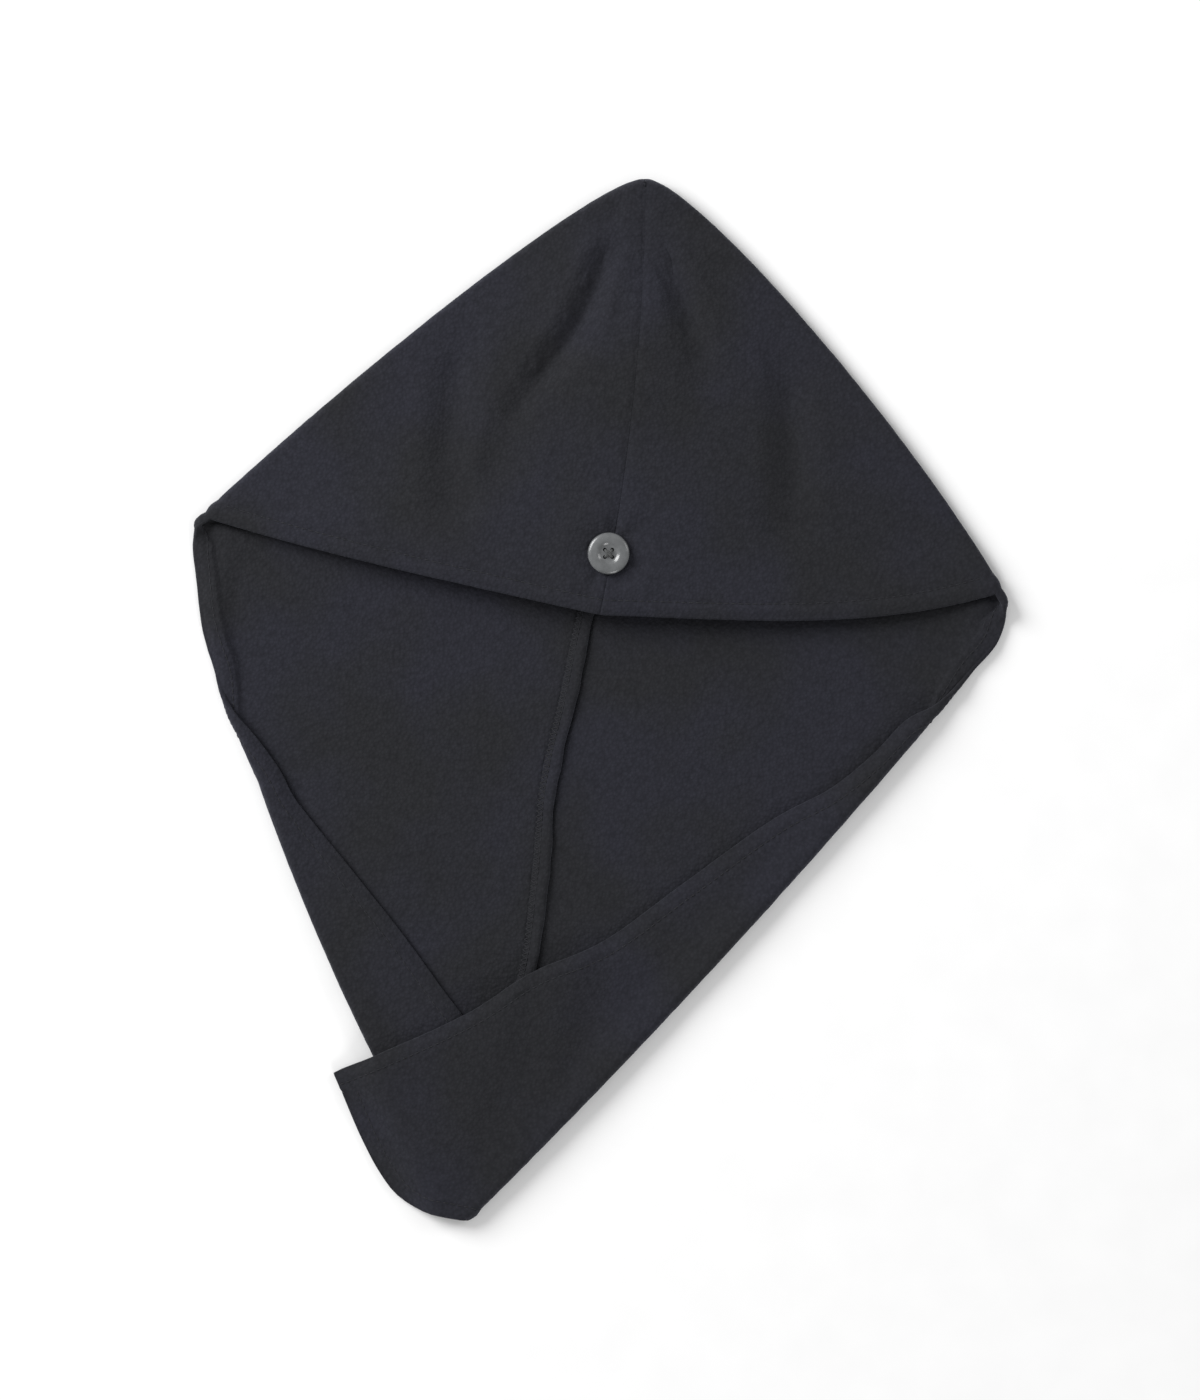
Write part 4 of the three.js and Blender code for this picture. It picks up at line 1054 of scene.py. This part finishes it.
def overlock_parts():
    """The thread that wraps the raw edge of the allowances, and its needle line."""
    places, rights, inwards, start = ridge_route()
    places, rights, inwards = places[start:], rights[start:], inwards[start:]
    widths, asides = ridge_sizes(places)
    run = run_of(places)
    on_tail = smooth(-4, -16, places[:, 1])
    loop = [
        (0.00, -0.50, -0.25), (0.06, -0.53, -0.1), (0.14, -0.46, 0.1), (0.32, -0.36, 0.1),
        (0.46, -0.26, 0.1), (0.54, -0.24, 0.1), (0.62, -0.26, 0.1), (0.76, -0.36, 0.1),
        (0.90, -0.46, 0.1), (0.97, -0.53, -0.1),
    ]
    count = int(run[-1] / OVERLOCK_PITCH)
    at, side, rise = (
        np.array([step[k] for _ in range(count) for step in loop]) for k in range(3)
    )
    at = (np.repeat(np.arange(count), len(loop)) + at) * OVERLOCK_PITCH
    width, aside = np.interp(at, run, widths), np.interp(at, run, asides)
    place, right, inward = (read_along(at, run, values) for values in (places, rights, inwards))
    top = ridge_top(side, np.interp(at, run, on_tail))
    route = place + right * (side * width - aside)[:, None] + inward * (top + rise)[:, None]
    parts = [tube_mesh(route, OVERLOCK_RADIUS, 5)]
    needle_rise = ridge_top(-0.2, on_tail) + 0.06
    needle = places + rights * (-0.2 * widths - asides)[:, None] + inwards * needle_rise[:, None]
    parts += stitches_along(needle, inwards, OVERLOCK_PITCH, 2.2)
    return parts


# The button, its thread and the elastic loop

def button_piece(material):
    """A dished four-hole button with a broad rounded rim."""
    profile = [
        (0.0, 0.0), (3.5, 0.0), (7.0, 0.0), (8.3, 0.15), (9.3, 0.6), (9.85, 1.2), (10.0, 1.75), (9.9, 2.25),
        (9.55, 2.75), (8.95, 3.12), (8.2, 3.32), (7.4, 3.4), (6.4, 3.4), (5.7, 3.32), (5.15, 3.12),
        (4.75, 2.86), (4.4, 2.6), (4.05, 2.41), (3.7, 2.32), (3.45, 2.3), (0.0, 2.3),
    ]
    segments = 96
    angle = 2 * math.pi * np.arange(segments) / segments
    vertices = [(0.0, 0.0, profile[0][1])]
    for radius, height in profile[1:-1]:
        vertices += [(radius * math.cos(a), radius * math.sin(a), height) for a in angle]
    vertices.append((0.0, 0.0, profile[-1][1]))
    rings = len(profile) - 2
    faces = [(0, 1 + (k + 1) % segments, 1 + k) for k in range(segments)]
    faces += ring_faces(rings, segments, 1)
    top = 1 + (rings - 1) * segments
    faces += [(len(vertices) - 1, top + k, top + (k + 1) % segments) for k in range(segments)]
    base = np.array([BUTTON_SHIFT, BUTTON_UP, button_base])
    piece = object_from("resin_button", np.array(vertices) + base, faces, material)

    cutters = []
    for place in hole_places():
        route = np.array([[*place, -1.5], [*place, BUTTON_THICKNESS + 1.5]]) + base
        cutter_vertices, cutter_faces = tube_mesh(route, BUTTON_HOLE / 2, 28, (1, 0, 0))
        cutter = object_from("hole_cutter", cutter_vertices, cutter_faces, material)
        cut = piece.modifiers.new("hole", "BOOLEAN")
        cut.operation = "DIFFERENCE"
        cut.solver = "EXACT"
        cut.object = cutter
        cutters.append(cutter)
    soft = piece.modifiers.new("soft_edges", "BEVEL")
    soft.width = 0.00022
    soft.segments = 2
    soft.limit_method = "ANGLE"
    soft.angle_limit = math.radians(50)
    bpy.context.view_layer.update()
    finished = bpy.data.meshes.new_from_object(piece.evaluated_get(bpy.context.evaluated_depsgraph_get()))
    piece.modifiers.clear()
    piece.data = finished
    finished.polygons.foreach_set("use_smooth", [True] * len(finished.polygons))
    for cutter in cutters:
        bpy.data.objects.remove(cutter)
    return piece


def hole_places():
    angles = [math.pi * (0.25 + k / 2) for k in range(4)]
    return [(BUTTON_WELL_RADIUS * math.cos(a), BUTTON_WELL_RADIUS * math.sin(a)) for a in angles]


def button_thread_parts():
    """Three strands through each pair of opposite holes, crossing in the middle of the dish."""
    floor_height = BUTTON_THICKNESS - BUTTON_DISH
    base = np.array([BUTTON_SHIFT, BUTTON_UP, button_base])
    parts = []
    for layer, angle in enumerate((math.pi / 4, -math.pi / 4)):
        along = np.array([math.cos(angle), math.sin(angle)])
        aside = np.array([-along[1], along[0]])
        for strand in (-1, 0, 1):
            share = np.linspace(-1, 1, 19)
            reach = BUTTON_WELL_RADIUS + 0.15
            flat = share[:, None] * reach * along
            apart = strand * THREAD_STRAND * 1.75 * (0.75 + 0.25 * np.cos(share * math.pi))
            flat = flat + apart[:, None] * aside
            rise = floor_height + 0.2 + (0.5 + 0.42 * layer) * (1 - np.abs(share) ** 3.0)
            rise = rise + 0.12 * (strand == 0) - 1.6 * smooth(0.86, 1.0, np.abs(share))
            route = with_height(flat, rise)
            ends = [np.append(route[0, :2], 0.1), np.append(route[-1, :2], 0.1)]
            route = np.vstack([ends[0], route, ends[1]])
            parts.append(tube_mesh(route + base, THREAD_STRAND, 8))
    for place in hole_places():
        post = np.array([[*place, 1.4], [*place, 0.4], [*place, -0.35]])
        parts.append(tube_mesh(post + base, 0.55, 10, (1, 0, 0)))
    return parts


def elastic_parts():
    """A braided loop whose two ends are tacked down beside the end of the seam."""
    heading = unit(np.array(LOOP_HEADING))
    aside = np.array([heading[1], -heading[0]])
    root = back_seam.at(RIDGE_END) + aside * LOOP_ASIDE + heading * LOOP_INSET
    corners = [(0, -0.2), (0.25, -0.32), (0.6, -0.48), (0.86, -0.38), (1, 0),
               (0.86, 0.38), (0.6, 0.48), (0.25, 0.32), (0, 0.2)]
    bends = [root + heading * f * LOOP_LENGTH + aside * s * LOOP_WIDTH for f, s in corners]
    plan = rounded_path(bends, 12).points
    height = CLOTH + LAY_GAP + ELASTIC_DIAMETER / 2 + lift_at(plan[:, 0], plan[:, 1])
    route = with_height(plan, height)
    turns = np.arange(len(route))
    radius = ELASTIC_DIAMETER / 2 * (1 + 0.05 * np.cos(turns * math.pi))
    tack_parts = []
    for k in range(7):
        middle = root + heading * (0.8 + 0.75 * k)
        spots = np.array([-4.2, -3.4, -1.8, 0, 1.8, 3.4, 4.2])
        rise = np.array([-1.0, 0.6, 1.15, 0.9, 1.15, 0.6, -1.0]) * ELASTIC_DIAMETER / 2
        level = CLOTH + LAY_GAP + ELASTIC_DIAMETER / 2 + lift_at(middle[0], middle[1])
        line = with_height(middle + spots[:, None] * aside, level + rise)
        tack_parts.append(tube_mesh(line, STITCH_RADIUS, 6))
    return tube_mesh(route, radius, 12), tack_parts


# Materials

def node_material(name):
    material = bpy.data.materials.new(name)
    material.use_nodes = True
    tree = material.node_tree
    return material, tree, tree.nodes["Principled BSDF"]


def set_inputs(node, **values):
    """Sets sockets by name, with _ for a space."""
    for name, value in values.items():
        node.inputs[name.replace("_", " ")].default_value = value


def noise_node(tree, coordinates, scale, detail=2.0, roughness=0.5):
    node = tree.nodes.new("ShaderNodeTexNoise")
    set_inputs(node, Scale=scale, Detail=detail, Roughness=roughness)
    tree.links.new(coordinates, node.inputs["Vector"])
    return node


def ramp_node(tree, value, stops):
    node = tree.nodes.new("ShaderNodeValToRGB")
    ramp = node.color_ramp
    while len(ramp.elements) < len(stops):
        ramp.elements.new(0.5)
    for element, (position, colour) in zip(ramp.elements, stops):
        element.position = position
        element.color = (*colour, 1.0)
    tree.links.new(value, node.inputs["Fac"])
    return node


def mixed_colour(tree, share, first, second, blend="MIX"):
    node = tree.nodes.new("ShaderNodeMix")
    node.data_type = "RGBA"
    node.blend_type = blend
    if isinstance(share, float):
        node.inputs[0].default_value = share
    else:
        tree.links.new(share, node.inputs[0])
    tree.links.new(first, node.inputs[6])
    tree.links.new(second, node.inputs[7])
    return node.outputs[2]


def bump_node(tree, height, distance, strength, previous=None):
    node = tree.nodes.new("ShaderNodeBump")
    set_inputs(node, Strength=strength, Distance=distance)
    tree.links.new(height, node.inputs["Height"])
    if previous is not None:
        tree.links.new(previous, node.inputs["Normal"])
    return node.outputs["Normal"]


def towelling_material():
    """Dark charcoal towelling with a short brushed pile, broad changes of tone and a soft sheen; its colour is
    painted darker where the bump dips between the pile's clumps and tufts, as painted shade.
    """
    material, tree, shader = node_material("towelling")
    place = tree.nodes.new("ShaderNodeTexCoord").outputs["Object"]
    broad = noise_node(tree, place, 14.0, 2.0, 0.5)
    clumps = noise_node(tree, place, 300.0, 3.0, 0.55)
    tufts = tree.nodes.new("ShaderNodeTexVoronoi")
    set_inputs(tufts, Scale=620.0, Randomness=1.0)
    tree.links.new(place, tufts.inputs["Vector"])
    base = ramp_node(tree, broad.outputs["Fac"], [
        (0.40, (0.0178, 0.0182, 0.0207)),
        (0.60, (0.0202, 0.0206, 0.0279)),
    ])
    # painted shade: clumps of pile lighter where their bump rises and darker in the dips between them
    shade = ramp_node(tree, clumps.outputs["Fac"], [(0.30, (0.86, 0.86, 0.86)), (0.70, (1.12, 1.12, 1.12))])
    # painted shade: each tuft lighter at its middle and darker between tufts, where the bump dips
    tuft_painted_shade = ramp_node(tree, tufts.outputs["Distance"], [(0.0, (1.12, 1.12, 1.12)), (0.75, (0.80, 0.80, 0.80))])
    colour = mixed_colour(tree, 1.0, base.outputs["Color"], shade.outputs["Color"], "MULTIPLY")
    colour = mixed_colour(tree, 1.0, colour, tuft_painted_shade.outputs["Color"], "MULTIPLY")
    tree.links.new(colour, shader.inputs["Base Color"])
    invert = tree.nodes.new("ShaderNodeMath")
    invert.operation = "SUBTRACT"
    invert.inputs[0].default_value = 1.0
    tree.links.new(tufts.outputs["Distance"], invert.inputs[1])
    normal = bump_node(tree, invert.outputs[0], 0.0006, 0.5)
    normal = bump_node(tree, clumps.outputs["Fac"], 0.0009, 0.35, normal)
    tree.links.new(normal, shader.inputs["Normal"])
    set_inputs(shader, Roughness=0.96, Specular_IOR_Level=0.15, Sheen_Weight=0.14, Sheen_Roughness=0.5,
               Sheen_Tint=(0.62, 0.64, 0.78, 1.0))
    return material


def thread_material(name, dark, light, roughness, twist):
    material, tree, shader = node_material(name)
    place = tree.nodes.new("ShaderNodeTexCoord").outputs["Object"]
    fibre = noise_node(tree, place, twist, 2.0, 0.6)
    colour = ramp_node(tree, fibre.outputs["Fac"], [(0.35, dark), (0.65, light)])
    tree.links.new(colour.outputs["Color"], shader.inputs["Base Color"])
    tree.links.new(bump_node(tree, fibre.outputs["Fac"], 0.0001, 0.5), shader.inputs["Normal"])
    set_inputs(shader, Roughness=roughness, Specular_IOR_Level=0.35)
    return material


def resin_material():
    """Smoky grey polyester resin with faint clouding and fine polishing marks."""
    material, tree, shader = node_material("button_resin")
    place = tree.nodes.new("ShaderNodeTexCoord").outputs["Object"]
    cloud = noise_node(tree, place, 190.0, 4.0, 0.6)
    marks = noise_node(tree, place, 1500.0, 2.0, 0.6)
    colour = ramp_node(tree, cloud.outputs["Fac"], [
        (0.30, (0.092, 0.096, 0.099)),
        (0.70, (0.142, 0.147, 0.151)),
    ])
    tree.links.new(colour.outputs["Color"], shader.inputs["Base Color"])
    gloss = ramp_node(tree, marks.outputs["Fac"], [(0.3, (0.24, 0.24, 0.24)), (0.7, (0.36, 0.36, 0.36))])
    tree.links.new(gloss.outputs["Color"], shader.inputs["Roughness"])
    tree.links.new(bump_node(tree, marks.outputs["Fac"], 0.00003, 0.2), shader.inputs["Normal"])
    set_inputs(shader, IOR=1.55, Coat_Weight=0.3, Coat_Roughness=0.15)
    return material


def floor_material():
    material, tree, shader = node_material("studio_floor")
    place = tree.nodes.new("ShaderNodeTexCoord").outputs["Object"]
    paper = noise_node(tree, place, 40.0, 2.0, 0.5)
    colour = ramp_node(tree, paper.outputs["Fac"], [(0.3, (0.93, 0.93, 0.93)), (0.7, (0.95, 0.95, 0.95))])
    tree.links.new(colour.outputs["Color"], shader.inputs["Base Color"])
    set_inputs(shader, Roughness=0.9, Specular_IOR_Level=0.1)
    return material


# The camera looks straight down at the middle of the photograph's frame

button_low, button_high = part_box("button")
button_middle = (np.array(button_low) + np.array(button_high)) * 500
SHIFT = np.array([button_middle[0] - BUTTON_SHIFT, button_middle[1] - BUTTON_UP, 0.0])

PHOTO_SCALE = 0.48                     # millimetres to a pixel
PHOTO_RIM = (600, 615)                 # the rim's middle in the photograph
PHOTO_SIZE = (1200, 1400)
view_x = ((PHOTO_SIZE[0] / 2 - PHOTO_RIM[0]) * PHOTO_SCALE + SHIFT[0]) * 0.001
view_y = ((PHOTO_RIM[1] - PHOTO_SIZE[1] / 2) * PHOTO_SCALE + SHIFT[1]) * 0.001
CAMERA_HEIGHT = 2.4
SENSOR = 36.0
SCALE_LEVEL = 0.006                    # height at which the photograph's scale holds
camera_data = bpy.data.cameras.new("camera")
camera_data.sensor_fit = "VERTICAL"
camera_data.sensor_height = SENSOR
camera_data.lens = SENSOR * (CAMERA_HEIGHT - SCALE_LEVEL) / (PHOTO_SIZE[1] * PHOTO_SCALE * 0.001)
camera = bpy.data.objects.new("camera", camera_data)
camera.location = (view_x, view_y, CAMERA_HEIGHT)
bpy.context.scene.collection.objects.link(camera)
bpy.context.scene.camera = camera

# The cloth

towelling = towelling_material()
sewing_thread = thread_material("seam_thread", (0.013, 0.0135, 0.016), (0.024, 0.0245, 0.029), 0.85, 2600.0)
button_thread_look = thread_material("button_thread", (0.050, 0.052, 0.053), (0.100, 0.103, 0.102), 0.6, 2200.0)
elastic_look = thread_material("elastic", (0.010, 0.010, 0.012), (0.026, 0.026, 0.030), 0.75, 1400.0)

panels = {}
for name, side, node in (("left_cloth", LEFT, "left_panel"), ("right_cloth", RIGHT, "right_panel")):
    panel = panel_mesh(side)
    piece = closed_panel(name, panel, towelling)
    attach(piece, "root")
    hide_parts(node)
    panels[name] = (panel, piece)


def add_piece(name, mesh, material, slot, *nodes):
    vertices, faces = mesh
    piece = object_from(name, vertices, faces, material)
    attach(piece, "root")
    if nodes:
        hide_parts(*nodes)
    return piece


seam_edge = add_piece("seam_allowances", ridge_mesh(), towelling, "seam_edge", "centre_seam")
overlock = add_piece("overlock_thread", joined(overlock_parts()), sewing_thread, "thread")
hem_threads = {
    name: add_piece(name.replace("cloth", "hem_stitches"), joined(hem_stitches(panel)), sewing_thread, "thread")
    for name, (panel, _) in panels.items()
}

button_base = BUTTON_SEAT + CLOTH / 2 + BUTTON_GAP + float(lift_at(BUTTON_SHIFT, BUTTON_UP))
button = button_piece(resin_material())
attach(button, "root")
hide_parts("button")
add_piece("crossed_thread", joined(button_thread_parts()), button_thread_look, "thread", "button_thread")
loop_mesh, tacks = elastic_parts()
add_piece("elastic_cord_loop", loop_mesh, elastic_look, "elastic", "elastic_loop")
add_piece("loop_tacks", joined(tacks), sewing_thread, "thread")

# The floor and the light

floor_data = bpy.data.meshes.new("floor")
FLOOR_REACH = 3.0
corners = [(x * FLOOR_REACH, y * FLOOR_REACH, 0) for x, y in ((-1, -1), (1, -1), (1, 1), (-1, 1))]
floor_data.from_pydata(corners, [], [(0, 1, 2, 3)])
floor_data.materials.append(floor_material())
floor = bpy.data.objects.new("floor", floor_data)
bpy.context.scene.collection.objects.link(floor)


def area_light(name, place, aim, size, power, colour=(1.0, 1.0, 1.0)):
    data = bpy.data.lights.new(name, "AREA")
    data.shape = "DISK"
    data.size = size
    data.energy = power
    data.color = colour
    light = bpy.data.objects.new(name, data)
    light.location = place
    light.rotation_euler = (Vector(aim) - Vector(place)).to_track_quat("-Z", "Y").to_euler()
    bpy.context.scene.collection.objects.link(light)


area_light("key_light", (-1.45, 0.95, 0.98), (0, 0, 0), 1.25, 47.0)
area_light("side_light", (1.6, 0.7, 0.9), (0, 0, 0), 0.9, 8.0)
area_light("window_light", (0.6, -2.0, 0.9), (0, 0, 0), 0.8, 14.0)

world = bpy.data.worlds.new("studio")
world.use_nodes = True
world.node_tree.nodes["Background"].inputs["Color"].default_value = (1.0, 1.0, 1.0, 1.0)
world.node_tree.nodes["Background"].inputs["Strength"].default_value = 0.41
bpy.context.scene.world = world
bpy.context.scene.view_settings.view_transform = "Standard"
